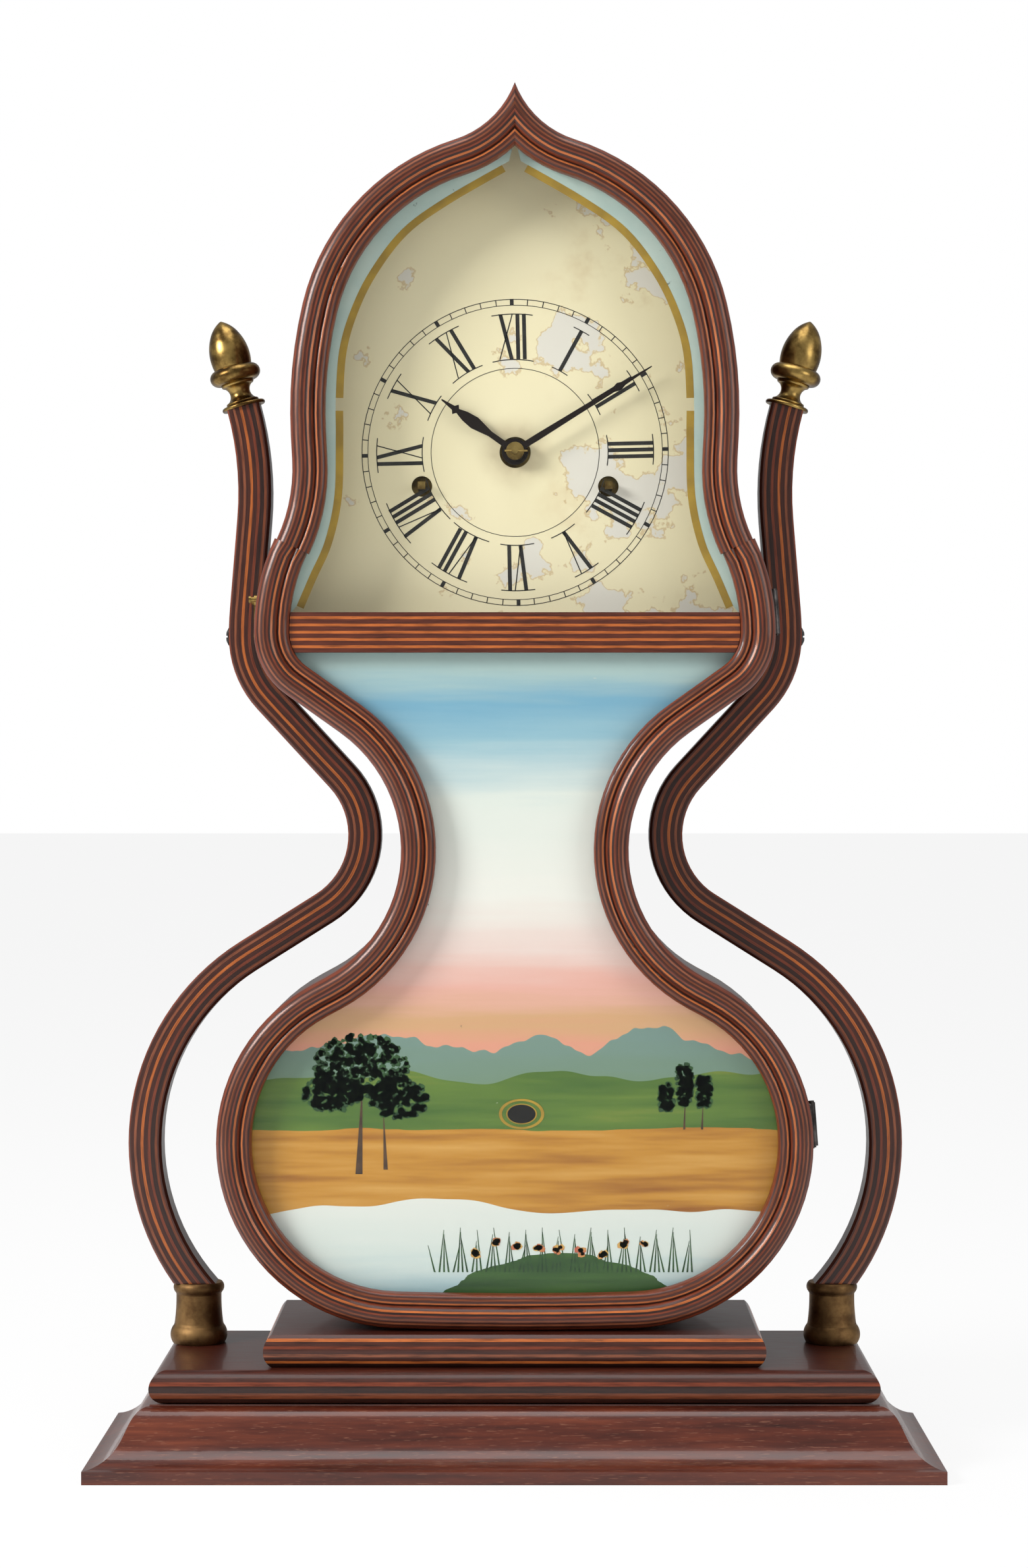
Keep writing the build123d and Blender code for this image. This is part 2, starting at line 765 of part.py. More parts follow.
save(mirror(finial.part.moved(finial_at), about=Plane.YZ, mode=Mode.PRIVATE), "left_finial")

# Round-head screws through the arms into the case
with BuildPart() as arm_screws:
    with BuildSketch(Plane((arm_outer_x, arm_y, arm_screw_z), x_dir=(0, 1, 0), z_dir=(1, 0, 0))):
        Circle(arm_screw_head_r)
    extrude(amount=arm_screw_dome)
    chamfer(arm_screws.faces().sort_by(Axis.X)[-1].edges(), length=arm_screw_dome * 0.6, length2=arm_screw_dome * 1.2)
    with BuildSketch(Plane((arm_outer_x, arm_y, arm_screw_z), x_dir=(0, 1, 0), z_dir=(1, 0, 0))):
        Circle(arm_screw_shank_r)
    extrude(amount=-(arm_width + arm_clear + arm_screw_grip))
    with BuildSketch(Plane((arm_outer_x + arm_screw_dome, arm_y, arm_screw_z), x_dir=(0, 1, 0), z_dir=(1, 0, 0))):
        Rectangle(arm_screw_head_r * 3, 0.9)
    extrude(amount=-0.8, mode=Mode.SUBTRACT)
    mirror(about=Plane.YZ)
save(arm_screws.part, "arm_screws")


# Hinges: leaves with interleaved knuckles, one pin each, and small screws
knuckle = hinge_length / 3


def hinge_leaves(side, spans, bore):
    """Both hinges' leaves on one side, with their knuckles over the given spans of the length."""
    with BuildPart() as leaves:
        for place in hinge_places:
            with BuildSketch(place.offset(-hinge_length / 2)):
                with Locations((-knuckle_r + leaf_thickness / 2, side * leaf_width / 2)):
                    Rectangle(leaf_thickness, leaf_width)
            extrude(amount=hinge_length)
            for low in range(3):
                if low not in spans:
                    with BuildSketch(place.offset(-hinge_length / 2 + low * knuckle - 0.1)):
                        Circle(knuckle_r + 0.1)
                    extrude(amount=knuckle + 0.2, mode=Mode.SUBTRACT)
            for low in spans:
                with BuildSketch(place.offset(-hinge_length / 2 + low * knuckle)):
                    Circle(knuckle_r)
                extrude(amount=knuckle)
            with BuildSketch(place.offset(-hinge_length / 2)):
                Circle(bore)
            extrude(amount=hinge_length, mode=Mode.SUBTRACT)
            for head in screw_planes(place, side):
                add(small_screw(head), mode=Mode.SUBTRACT)
    return leaves.part


save(hinge_leaves(1, (0, 2), hinge_pin_r), "hinge_case_leaves")
save(hinge_leaves(-1, (1,), hinge_pin_r + pin_clear), "hinge_door_leaves")

with BuildPart() as hinge_pins:
    for place in hinge_places:
        with BuildSketch(place.offset(-hinge_length / 2 - 0.8)):
            Circle(hinge_pin_r)
        extrude(amount=hinge_length + 1.6)
        with BuildSketch(place.offset(hinge_length / 2)):
            Circle(hinge_pin_r * 1.6)
        extrude(amount=0.8)
save(hinge_pins.part, "hinge_pins")

with BuildPart() as hinge_door_screws:
    for place in hinge_places:
        for head in screw_planes(place, -1):
            add(small_screw(head))
save(hinge_door_screws.part, "hinge_door_screws")

# Hook that hangs on the case's left side, and the pin that it drops over
with BuildPart() as door_hook:
    with BuildSketch(Plane((-hook_x, hook_y, hook_z), x_dir=(0, -1, 0), z_dir=(-1, 0, 0))):
        Circle(hook_width * 0.65)
        with Locations((0, -hook_length / 2)):
            Rectangle(hook_width * 0.7, hook_length)
        with Locations((0, -hook_length)):
            Circle(hook_width * 0.6)
        with Locations((0, -hook_length)):
            Circle(hook_pin_r + 0.2, mode=Mode.SUBTRACT)
        with Locations((-hook_width / 2, -hook_length)):
            Rectangle(hook_width, 2 * hook_pin_r + 0.2, mode=Mode.SUBTRACT)
        Circle(small_screw_r + 0.1, mode=Mode.SUBTRACT)
    extrude(amount=hook_thickness)
save(door_hook.part, "door_hook")



def round_head(y, head_r, shank_r, shank_length):
    """A round head outside the hook's plane on a shank driven into the wood at depth y."""
    head = Plane((-hook_screw_head_x, y, hook_z), z_dir=(-1, 0, 0))
    with BuildPart() as screw:
        with BuildSketch(head):
            Circle(head_r)
        extrude(amount=0.9)
        with BuildSketch(head):
            Circle(shank_r)
        extrude(amount=-shank_length)
    return screw.part


save(round_head(hook_y, small_screw_head_r, small_screw_r, hook_screw_length), "hook_screw")
save(round_head(hook_y - hook_length, hook_pin_r * 1.5, hook_pin_r, hook_pin_length), "hook_pin")

# Dial plate on four blocks glued inside the case
dial_face = outline_sketch(case_wall + dial_edge_clear)
with BuildPart() as dial_plate:
    with BuildSketch(plane_at(dial_y + dial_thickness)):
        add(dial_face)
        with Locations((0, dial_bottom_z + tip_z / 2)):
            Rectangle(base_width, tip_z, mode=Mode.INTERSECT)
        with Locations((0, dial_centre_z)):
            Circle(dial_hole_r, mode=Mode.SUBTRACT)
        with Locations((winding_x, winding_z), (-winding_x, winding_z)):
            Circle(winding_hole_r, mode=Mode.SUBTRACT)
    extrude(amount=dial_thickness)
    dial_screw_places = []
    for block_z, lobe_index in ((block_low_z, 5), (block_high_z, 7)):
        screw_x = outline_x(block_z, lobe_index) - case_wall - block_size / 2
        dial_screw_places += [(screw_x, block_z), (-screw_x, block_z)]
    with Locations(plane_at(dial_y)):
        with Locations(*dial_screw_places):
            Hole(radius=small_screw_r + 0.1, depth=dial_thickness)
save(dial_plate.part, "dial_plate")

block_depth = 12.0
with BuildPart() as dial_blocks:
    with BuildSketch(plane_at(dial_y + dial_thickness + block_depth)):
        for x, z in dial_screw_places:
            with Locations((x * 1.06, z)):
                Rectangle(block_size * 1.6, block_size)
        add(case_inner_face, mode=Mode.INTERSECT)
    extrude(amount=block_depth)
    with Locations(plane_at(dial_y + dial_thickness)):
        with Locations(*dial_screw_places):
            Hole(radius=small_screw_r, depth=small_screw_length)
save(dial_blocks.part, "dial_blocks")

with BuildPart() as case_small_screws:
    for place in hinge_places:
        for head in screw_planes(place, 1):
            add(small_screw(head))
    for x, z in dial_screw_places:
        head = Plane((x, dial_y, z), x_dir=(1, 0, 0), z_dir=(0, -1, 0))
        with BuildSketch(head):
            Circle(small_screw_head_r)
        extrude(amount=0.8)
        with BuildSketch(head):
            Circle(small_screw_r)
        extrude(amount=-(dial_thickness + small_screw_length * 0.9))
save(case_small_screws.part, "case_small_screws")


# Wheels: teeth narrow towards the tip and have straight sides below the pitch line
def gear_points(teeth, module, phase):
    """Corners of a toothed outline; one tooth is centred on the angle phase (radians)."""
    pitch_r = teeth * module / 2
    step = 2 * pi / teeth
    corners = []
    for k in range(teeth):
        middle = phase + k * step
        for share, r in (
            (-0.26, pitch_r - 1.0 * module),
            (-0.2, pitch_r),
            (-0.09, pitch_r + 0.65 * module),
            (0.09, pitch_r + 0.65 * module),
            (0.2, pitch_r),
            (0.26, pitch_r - 1.0 * module),
        ):
            corners.append((r * cos(middle + share * step), r * sin(middle + share * step)))
    return corners


def mesh_phase(direction, phase, teeth, other_teeth):
    """Phase that puts a second gear in mesh with the first, which lies in a direction from it."""
    past = (direction - phase) % (2 * pi / teeth)
    return direction + pi + past * teeth / other_teeth + pi / other_teeth


def gear_sketch(teeth, module, phase, bore, crossed=False):
    """A toothed wheel, crossed out to a rim, four arms and a hub where it is large."""
    rim_r = teeth * module / 2 - 1.0 * module - 2.4
    with BuildSketch() as face:
        with BuildLine():
            Polyline(*gear_points(teeth, module, phase), close=True)
        make_face()
        if crossed:
            Circle(rim_r, mode=Mode.SUBTRACT)
            Circle(rim_r * 0.3 + 1.5)
            for turn in (0, 90):
                Rectangle(2 * rim_r + 0.6, arm_of_wheel, rotation=turn)
        if bore:
            Circle(bore, mode=Mode.SUBTRACT)
    return face.sketch


def slab(sketch, x, z, front, thickness):
    """Extrude a sketch backwards from depth y = front about the arbor at (x, z)."""
    with BuildPart() as body:
        with BuildSketch(Plane((x, front + thickness, z), x_dir=(1, 0, 0), z_dir=(0, -1, 0))):
            add(sketch)
        extrude(amount=thickness)
    return body.part


def disc(x, z, r, front, back, bore=0.0):
    """A round bar or collar along Y."""
    with BuildSketch() as face:
        Circle(r)
        if bore:
            Circle(bore, mode=Mode.SUBTRACT)
    return slab(face.sketch, x, z, front, back - front)


def square_bar(x, z, side, front, back):
    """A square bar along Y."""
    with BuildSketch() as face:
        Rectangle(side, side)
    return slab(face.sketch, x, z, front, back - front)


def joined(*pieces):
    """Fuse pieces into one."""
    with BuildPart() as body:
        for piece in pieces:
            add(piece)
    return body.part


# Arbors: winding arbors either side of the centre, the escape arbor above it, the verge at the top
great_pitch_r = great_teeth * train_module / 2
pinion_pitch_r = pinion_leaves * train_module / 2
time_at = (winding_x, winding_z)
strike_at = (-winding_x, winding_z)
centre_at = (0.0, dial_centre_z)
escape_at = (0.0, dial_centre_z + (centre_teeth + escape_leaves) * escape_module / 2)
verge_at = (0.0, escape_at[1] + escape_r + verge_gap)
fly_reach = great_pitch_r + pinion_pitch_r
fly_at = (
    strike_at[0] + fly_reach * cos(radians(fly_angle)),
    strike_at[1] + fly_reach * sin(radians(fly_angle)),
)
inside_front = front_plate_y + plate_thickness
arbor_back = back_plate_y + plate_thickness
hammer_at = (hammer_x, hammer_z)
arbors = [time_at, strike_at, centre_at, escape_at, verge_at, fly_at, hammer_at]
pillars = [
    (pillar_high_x, pillar_high_z),
    (-pillar_high_x, pillar_high_z),
    (pillar_low_x, pillar_low_z),
    (-pillar_low_x, pillar_low_z),
]


def movement_plate(y):
    """A brass plate with a hole for every arbor and pillar."""
    with BuildPart() as plate:
        with BuildSketch(plane_at(y + plate_thickness)):
            with Locations((0, (plate_low_z + plate_high_z) / 2)):
                RectangleRounded(2 * plate_half_width, plate_high_z - plate_low_z, 4)
            with Locations(*arbors):
                Circle(arbor_r + pivot_clear, mode=Mode.SUBTRACT)
            with Locations(*pillars):
                Circle(pillar_screw_r + pivot_clear, mode=Mode.SUBTRACT)
        extrude(amount=plate_thickness)
    return plate.part


stud_turn = radians(20)
stud_reach = (pipe_leaves + minute_wheel_teeth) * motion_module / 2
stud_at = (stud_reach * sin(stud_turn), dial_centre_z - stud_reach * cos(stud_turn))
stud_end_y = 15.4
save(
    joined(
        movement_plate(front_plate_y),
        disc(*stud_at, arbor_r, stud_end_y, front_plate_y),
        disc(*stud_at, arbor_r + 1.0, stud_end_y, stud_end_y + 0.8),
    ),
    "movement_front_plate",
)
save(movement_plate(back_plate_y), "movement_back_plate")

nut_thickness = 2.0
with BuildPart() as plate_pillars:
    for x, z in pillars:
        add(disc(x, z, pillar_r, inside_front, back_plate_y))
        add(disc(x, z, pillar_screw_r, front_plate_y, case_back_y))
        with BuildSketch(Plane((x, front_plate_y, z), x_dir=(1, 0, 0), z_dir=(0, -1, 0))):
            RegularPolygon(radius=pillar_r, side_count=6)
        extrude(amount=nut_thickness)
        add(disc(x, z, pillar_r, arbor_back, case_back_y))
save(plate_pillars.part, "plate_pillars")


# Going train: great wheel and drum, centre wheel, escape wheel
time_direction = atan2(centre_at[1] - time_at[1], centre_at[0] - time_at[0])
centre_phase = mesh_phase(time_direction, 0.0, great_teeth, pinion_leaves)
escape_phase = mesh_phase(pi / 2, 0.0, centre_teeth, escape_leaves)


def winding_drum(at, wheel_y):
    """Great wheel, cord drum and squared winding arbor."""
    x, z = at
    return joined(
        slab(gear_sketch(great_teeth, train_module, 0.0, 0, crossed=True), x, z, wheel_y, wheel_thickness),
        disc(x, z, drum_r, drum_y, drum_y + drum_length),
        disc(x, z, drum_r + 2, drum_y + drum_length, drum_y + drum_length + 1),
        disc(x, z, drum_r + 2, drum_y - 1, drum_y),
        disc(x, z, arbor_r, front_plate_y - 1, arbor_back + 0.5),
        disc(x, z, arbor_r * 2, drum_y, wheel_y + wheel_thickness),
        square_bar(x, z, winding_square, wind_end_y, front_plate_y - 0.8),
    )


save(winding_drum(time_at, great_wheel_y), "time_drum")
save(winding_drum(strike_at, strike_wheel_y), "strike_drum")

cannon_end_y = minute_hand_y
arbor_end_y = cannon_end_y - 2.4
save(
    joined(
        slab(gear_sketch(centre_teeth, escape_module, 0.0, 0, crossed=True), *centre_at, centre_wheel_y, wheel_thickness),
        slab(gear_sketch(pinion_leaves, train_module, centre_phase, 0), *centre_at, great_wheel_y - 1.5, 5.0),
        disc(*centre_at, arbor_r, arbor_end_y, arbor_back + 0.5),
    ),
    "centre_wheel",
)

with BuildSketch() as escape_sketch:
    with BuildLine():
        escape_corners = []
        for k in range(escape_teeth):
            middle = k * 2 * pi / escape_teeth
            for share, r in ((-0.45, escape_r - 1.8), (0.0, escape_r), (0.1, escape_r), (0.2, escape_r - 1.8)):
                angle = middle + share * 2 * pi / escape_teeth
                escape_corners.append((r * cos(angle), r * sin(angle)))
        Polyline(*escape_corners, close=True)
    make_face()
    Circle(escape_r - 3.4, mode=Mode.SUBTRACT)
    Circle(3.2)
    Rectangle(2 * escape_r - 6, 1.6)
    Rectangle(1.6, 2 * escape_r - 6)
save(
    joined(
        slab(escape_sketch.sketch, *escape_at, escape_wheel_y, 1.2),
        slab(gear_sketch(escape_leaves, escape_module, escape_phase, 0), *escape_at, centre_wheel_y - 1.2, 4.2),
        disc(*escape_at, arbor_r, front_plate_y - 0.5, arbor_back + 0.5),
    ),
    "escape_wheel",
)

# Verge on its arbor, with the pendulum behind the back plate
pallet_angle = radians(42)
pallet_gap = 1.1
pallet_points = [
    ((escape_r + pallet_gap) * side * sin(pallet_angle), (escape_r + pallet_gap) * cos(pallet_angle) - escape_r - verge_gap)
    for side in (-1, 1)
]
with BuildSketch() as verge_sketch:
    Circle(3.0)
    with BuildLine():
        Polyline(
            (pallet_points[0][0] - 1.2, pallet_points[0][1]),
            (-1.6, 2.4),
            (1.6, 2.4),
            (pallet_points[1][0] + 1.2, pallet_points[1][1]),
            (pallet_points[1][0], pallet_points[1][1] + 0.4),
            (0.0, -1.6),
            (pallet_points[0][0], pallet_points[0][1] + 0.4),
            close=True,
        )
    make_face()
save(
    joined(
        slab(verge_sketch.sketch, *verge_at, escape_wheel_y - 0.6, 2.4),
        disc(*verge_at, arbor_r, front_plate_y - 0.5, pendulum_y + 1.5),
    ),
    "verge",
)
with BuildPart() as pendulum_rod:
    with BuildSketch(Plane((0, pendulum_y, bob_z - bob_r - 6))):
        Circle(rod_r)
    extrude(amount=verge_at[1] - bob_z + bob_r + 6)
    add(disc(*verge_at, 3.2, pendulum_y - 1.5, pendulum_y + 1.5))
    add(disc(*verge_at, arbor_r, pendulum_y - 2, pendulum_y + 2), mode=Mode.SUBTRACT)
save(pendulum_rod.part, "pendulum_rod")
with BuildPart() as pendulum_bob:
    with BuildSketch(Plane.XY):
        with BuildLine():
            Line((0, -bob_thickness / 2), (bob_r - 0.6, -0.5))
            ThreePointArc((bob_r - 0.6, -0.5), (bob_r, 0), (bob_r - 0.6, 0.5))
            Line((bob_r - 0.6, 0.5), (0, bob_thickness / 2))
            Line((0, bob_thickness / 2), (0, -bob_thickness / 2))
        make_face()
    revolve(axis=Axis.Y)
    with BuildSketch(Plane((0, 0, -bob_r - 1))):
        Circle(rod_r)
    extrude(amount=2 * bob_r + 2, mode=Mode.SUBTRACT)
save(pendulum_bob.part.moved(Location((0, pendulum_y, bob_z))), "pendulum_bob")

# Strike train: count wheel on the drum's arbor, a fly, a hammer and a coiled wire gong
count_r = 17.0
with BuildSketch() as count_sketch:
    Circle(count_r)
    turned = 0
    for strokes in range(1, 13):
        turned += strokes
        with PolarLocations(count_r, 1, start_angle=turned * 360 / 78):
            Rectangle(3.0, 1.6, mode=Mode.SUBTRACT)
    Circle(arbor_r, mode=Mode.SUBTRACT)
save(slab(count_sketch.sketch, *strike_at, strike_wheel_y + wheel_thickness + 1.2, 1.0), "count_wheel")

fly_phase = mesh_phase(radians(fly_angle), 0.0, great_teeth, pinion_leaves)
with BuildPart() as fly:
    add(slab(gear_sketch(pinion_leaves, train_module, fly_phase, 0), *fly_at, strike_wheel_y - 1.5, 4.8))
    add(disc(*fly_at, arbor_r, front_plate_y - 0.5, arbor_back + 0.5))
    with Locations((fly_at[0], drum_y + 5.0, fly_at[1])):
        Box(22.0, 9.0, 0.8)
save(fly.part, "fly")

rod_tilt = atan2(hammer_x - hammer_head_x, hammer_z - hammer_head_z)
with BuildPart() as strike_hammer:
    add(disc(*hammer_at, arbor_r, front_plate_y - 0.5, arbor_back + 0.5))
    with BuildSketch(Plane((hammer_head_x, hammer_y, hammer_head_z), z_dir=(sin(rod_tilt), 0, cos(rod_tilt)))):
        Circle(1.0)
    extrude(amount=hypot(hammer_x - hammer_head_x, hammer_z - hammer_head_z))
    add(disc(hammer_head_x, hammer_head_z, 4.0, hammer_y - 4, hammer_y + 4))
save(strike_hammer.part, "strike_hammer")

with BuildPart() as gong:
    with BuildLine(plane_at(gong_y)) as gong_line:
        turns = [(1 - 2 * (k % 2)) * (gong_r - k * gong_pitch / 2) for k in range(gong_turns * 2 + 1)]
        for start, end in zip(turns, turns[1:]):
            middle = ((start + end) / 2 + gong_x, gong_z + (start - end) / 2)
            ThreePointArc((gong_x + start, gong_z), middle, (gong_x + end, gong_z))
    with BuildSketch(Plane((gong_x + gong_r, gong_y, gong_z), x_dir=(1, 0, 0), z_dir=(0, 0, 1))):
        Circle(gong_wire_r)
    sweep(path=gong_line.wires()[0])
save(gong.part, "gong")

with BuildPart() as gong_block:
    add(disc(gong_x + turns[-1], gong_z - 2.0, 4.0, gong_y - 3, case_back_y))
    add(gong.part, mode=Mode.SUBTRACT)
save(gong_block.part, "gong_block")

# Wooden cones and spring barrels low in the case, on an iron frame, with cords up to the drums
frame_back_y = cone_front_y + cone_length + barrel_length
cone_arbor_front = cone_front_y - 3.0
groove_count = 6
groove_depth_in = 0.9
cone_outline = [(0.0, 0.0)]
for k in range(groove_count):
    for share, dip in ((0.0, 0.0), (0.3, groove_depth_in), (0.7, groove_depth_in)):
        along = (k + share) / groove_count
        cone_outline.append((cone_small_r + (cone_big_r - cone_small_r) * along - dip, cone_length * along))
cone_outline += [(cone_big_r, cone_length), (0.0, cone_length)]
with BuildPart() as wooden_cone:
    with BuildSketch(Plane.XZ):
        with BuildLine():
            Polyline(*cone_outline, close=True)
        make_face()
    revolve(axis=Axis.Z)


def cone_unit(x):
    """Grooved wooden cone with its iron arbor."""
    place = Plane((x, cone_front_y, cone_z), x_dir=(1, 0, 0), z_dir=(0, 1, 0)).location
    return joined(wooden_cone.part.moved(place), disc(x, cone_z, cone_arbor_r, cone_arbor_front, frame_back_y + 1.0))


save(cone_unit(cone_x), "time_cone")
save(cone_unit(-cone_x), "strike_cone")

barrel_wall = 1.5
with BuildPart() as spring_barrels:
    for x in (cone_x, -cone_x):
        front = cone_front_y + cone_length + 0.3
        add(disc(x, cone_z, barrel_r, front, frame_back_y))
        add(disc(x, cone_z, barrel_r - barrel_wall, front, frame_back_y - barrel_wall), mode=Mode.SUBTRACT)
        add(disc(x, cone_z, cone_arbor_r + pin_clear, front, frame_back_y + 1), mode=Mode.SUBTRACT)
save(spring_barrels.part, "spring_barrels")

spring_strip = 0.5
spring_turns = 7
spring_front = cone_front_y + cone_length + 1.5
with BuildPart() as mainsprings:
    for x in (cone_x, -cone_x):
        with BuildSketch(Plane((x, frame_back_y - barrel_wall - 0.5, cone_z), x_dir=(1, 0, 0), z_dir=(0, -1, 0))):
            for k in range(spring_turns):
                ring_r = cone_arbor_r + 4.0 + k * 2.8
                Circle(ring_r + spring_strip / 2)
                Circle(ring_r - spring_strip / 2, mode=Mode.SUBTRACT)
        extrude(amount=frame_back_y - barrel_wall - 0.5 - spring_front)
save(mainsprings.part, "mainsprings")

strap_half = 83.0
strap_height = 14.0
post_x = 79.0
strap_front_y = cone_front_y - 2.7
strap_back_y = frame_back_y + 0.4


def strap(y):
    """A flat iron bar across both arbors, bored for them."""
    with BuildPart() as bar:
        with BuildSketch(plane_at(y + frame_plate)):
            with Locations((0, cone_z)):
                SlotOverall(2 * strap_half, strap_height)
            with Locations((cone_x, cone_z), (-cone_x, cone_z)):
                Circle(cone_arbor_r + pin_clear, mode=Mode.SUBTRACT)
        extrude(amount=frame_plate)
    return bar.part


with BuildPart() as cone_frame:
    add(strap(strap_front_y))
    add(strap(strap_back_y))
    for x in (post_x, -post_x, 0.0):
        add(disc(x, cone_z, 3.5, strap_front_y, strap_back_y + frame_plate))
    for x in (post_x, -post_x):
        add(disc(x, cone_z, 5.0, strap_back_y, case_back_y))
save(cone_frame.part, "cone_frame")

# Cords run from the inner side of each drum down to the inner side of its cone
cord_y = drum_y + drum_length / 2
cone_r_at_cord = cone_small_r + (cone_big_r - cone_small_r) * (cord_y + cord_r - cone_front_y) / cone_length
cord_gap = cord_r + 0.3
for side, name in ((1, "time_cord"), (-1, "strike_cord")):
    high_end = Vector(side * (winding_x - drum_r - cord_gap), cord_y, winding_z)
    low_end = Vector(side * (cone_x - cone_r_at_cord - cord_gap), cord_y, cone_z)
    with BuildPart() as cord:
        with BuildSketch(Plane(low_end, z_dir=high_end - low_end)):
            Circle(cord_r)
        extrude(amount=(high_end - low_end).length)
    save(cord.part, name)

# Motion work between the dial and the front plate, then the hands at about ten past ten
pipe_wheel_y = 19.6
pair_wheel_y = 16.6
motion_thickness = 1.5
hour_module = 2 * stud_reach / (hour_wheel_teeth + minute_leaves)
stud_direction = atan2(stud_at[1] - centre_at[1], stud_at[0])
pair_phase = mesh_phase(stud_direction, 0.0, pipe_leaves, minute_wheel_teeth)
hour_phase = mesh_phase(stud_direction + pi, 0.0, minute_leaves, hour_wheel_teeth)
minute_turn = radians(58.2)
hour_turn = radians(-54.7)
tail_length = 6.0

save(
    joined(
        slab(gear_sketch(pipe_leaves, motion_module, 0.0, pipe_bore_r), *centre_at, pipe_wheel_y, motion_thickness),
        disc(*centre_at, pipe_r, minute_hand_y, pipe_wheel_y + motion_thickness, pipe_bore_r),
    ),
    "minute_pipe",
)
with BuildPart() as minute_wheel:
    add(slab(gear_sketch(minute_wheel_teeth, motion_module, pair_phase, 0), *stud_at, pipe_wheel_y, motion_thickness))
    add(slab(gear_sketch(minute_leaves, hour_module, 0.0, 0), *stud_at, pair_wheel_y, pipe_wheel_y - pair_wheel_y))
    add(disc(*stud_at, arbor_r + pivot_clear, pair_wheel_y - 1, pipe_wheel_y + 3), mode=Mode.SUBTRACT)
save(minute_wheel.part, "minute_wheel")
save(
    joined(
        slab(
            gear_sketch(hour_wheel_teeth, hour_module, hour_phase, hour_bore_r),
            *centre_at,
            pair_wheel_y + 0.3,
            motion_thickness,
        ),
        disc(*centre_at, hour_pipe_r, hour_hand_y, pair_wheel_y + 0.3 + motion_thickness, hour_bore_r),
    ),
    "hour_wheel",
)


def hand(points, hub_r, bore, turn, y, loop=None):
    """A flat hand: half its outline along its length, mirrored, on a hub, turned clockwise from twelve."""
    mirrored = [(-across, along) for across, along in reversed(points)]
    with BuildSketch() as face:
        with BuildLine():
            Polyline(*points, *mirrored, close=True)
        make_face()
        Circle(hub_r)
        if loop:
            across, along, long_r, wide_r = loop
            with Locations((across, along)):
                Ellipse(wide_r, long_r, mode=Mode.SUBTRACT)
        Circle(bore, mode=Mode.SUBTRACT)
    return slab(face.sketch.rotate(Axis.Z, -degrees(turn)), *centre_at, y, hand_thickness)


minute_points = [
    (1.4, -tail_length / 6),
    (1.5, 12.0),
    (1.25, 30.0),
    (1.0, minute_hand_length * 0.72),
    (1.9, minute_hand_length * 0.76),
    (0.9, minute_hand_length * 0.8),
    (0.25, minute_hand_length),
]
hour_points = [
    (1.4, -tail_length / 6),
    (1.3, 14.0),
    (2.9, hour_hand_length * 0.55),
    (2.3, hour_hand_length * 0.68),
    (1.1, hour_hand_length * 0.78),
    (2.6, hour_hand_length * 0.81),
    (1.1, hour_hand_length * 0.84),
    (0.3, hour_hand_length),
]
save(hand(minute_points, washer_r + 0.4, pipe_r, minute_turn, minute_hand_y), "minute_hand")
save(hand(hour_points, hour_pipe_r + 3.0, hour_pipe_r, hour_turn, hour_hand_y), "hour_hand")
save(
    joined(
        disc(*centre_at, washer_r, minute_hand_y - 0.7, minute_hand_y - 0.05, arbor_r + pivot_clear),
    ),
    "hand_washer",
)
with BuildPart() as hand_pin:
    pin_y = minute_hand_y - 1.3
    with BuildSketch(Plane((arbor_r, pin_y, dial_centre_z), z_dir=(1, 0, 0))):
        Circle(0.45)
    extrude(amount=4.2)
    with BuildSketch(Plane((-arbor_r, pin_y, dial_centre_z), z_dir=(-1, 0, 0))):
        Circle(0.45)
    extrude(amount=3.2)
save(hand_pin.part, "hand_pin")
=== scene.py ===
"""Finishes for an acorn-shaped shelf clock of bent, striped wood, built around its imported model."""

import json
import random
from math import acos, asin, atan2, cos, hypot, pi, radians, sin, sqrt

import bmesh
import bpy
import numpy as np
from bpy.props import FloatProperty, FloatVectorProperty, IntProperty, PointerProperty
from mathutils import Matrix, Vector


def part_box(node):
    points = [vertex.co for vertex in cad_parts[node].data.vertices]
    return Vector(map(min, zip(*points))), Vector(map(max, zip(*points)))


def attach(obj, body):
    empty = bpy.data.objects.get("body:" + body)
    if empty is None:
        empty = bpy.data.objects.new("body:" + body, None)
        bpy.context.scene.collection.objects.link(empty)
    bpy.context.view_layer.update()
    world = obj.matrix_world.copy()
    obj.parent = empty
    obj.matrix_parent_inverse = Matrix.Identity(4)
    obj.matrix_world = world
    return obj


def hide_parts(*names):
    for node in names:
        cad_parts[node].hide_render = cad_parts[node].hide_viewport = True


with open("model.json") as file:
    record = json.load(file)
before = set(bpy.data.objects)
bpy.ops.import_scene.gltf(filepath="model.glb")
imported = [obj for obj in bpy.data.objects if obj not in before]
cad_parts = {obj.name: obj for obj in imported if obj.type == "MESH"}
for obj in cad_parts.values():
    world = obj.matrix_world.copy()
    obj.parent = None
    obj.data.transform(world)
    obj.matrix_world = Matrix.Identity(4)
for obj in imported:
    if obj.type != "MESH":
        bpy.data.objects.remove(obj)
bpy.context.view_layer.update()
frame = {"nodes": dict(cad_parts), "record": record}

bl_info = {
    "name": "Acorn shelf clock finishes",
    "version": (1, 0, 0),
    "blender": (4, 5, 0),
    "location": "View3D > Sidebar > Shelf clock",
    "description": "Wood, metal, glass and painted finishes for a bentwood shelf clock",
    "category": "Object",
}

# A millimetre, and the clear distance between painted layers, in metres
MM = 0.001
GAP = 0.00005

# Spacing of the points along a route, and thickness of marks and of the tablet's paint, in millimetres
ROUTE_STEP = 1.0
MARK_THICKNESS = 0.08
PAINT_THICKNESS = 0.03

# Edges that turn by more than this stay sharp
SHARP_ANGLE = radians(35)


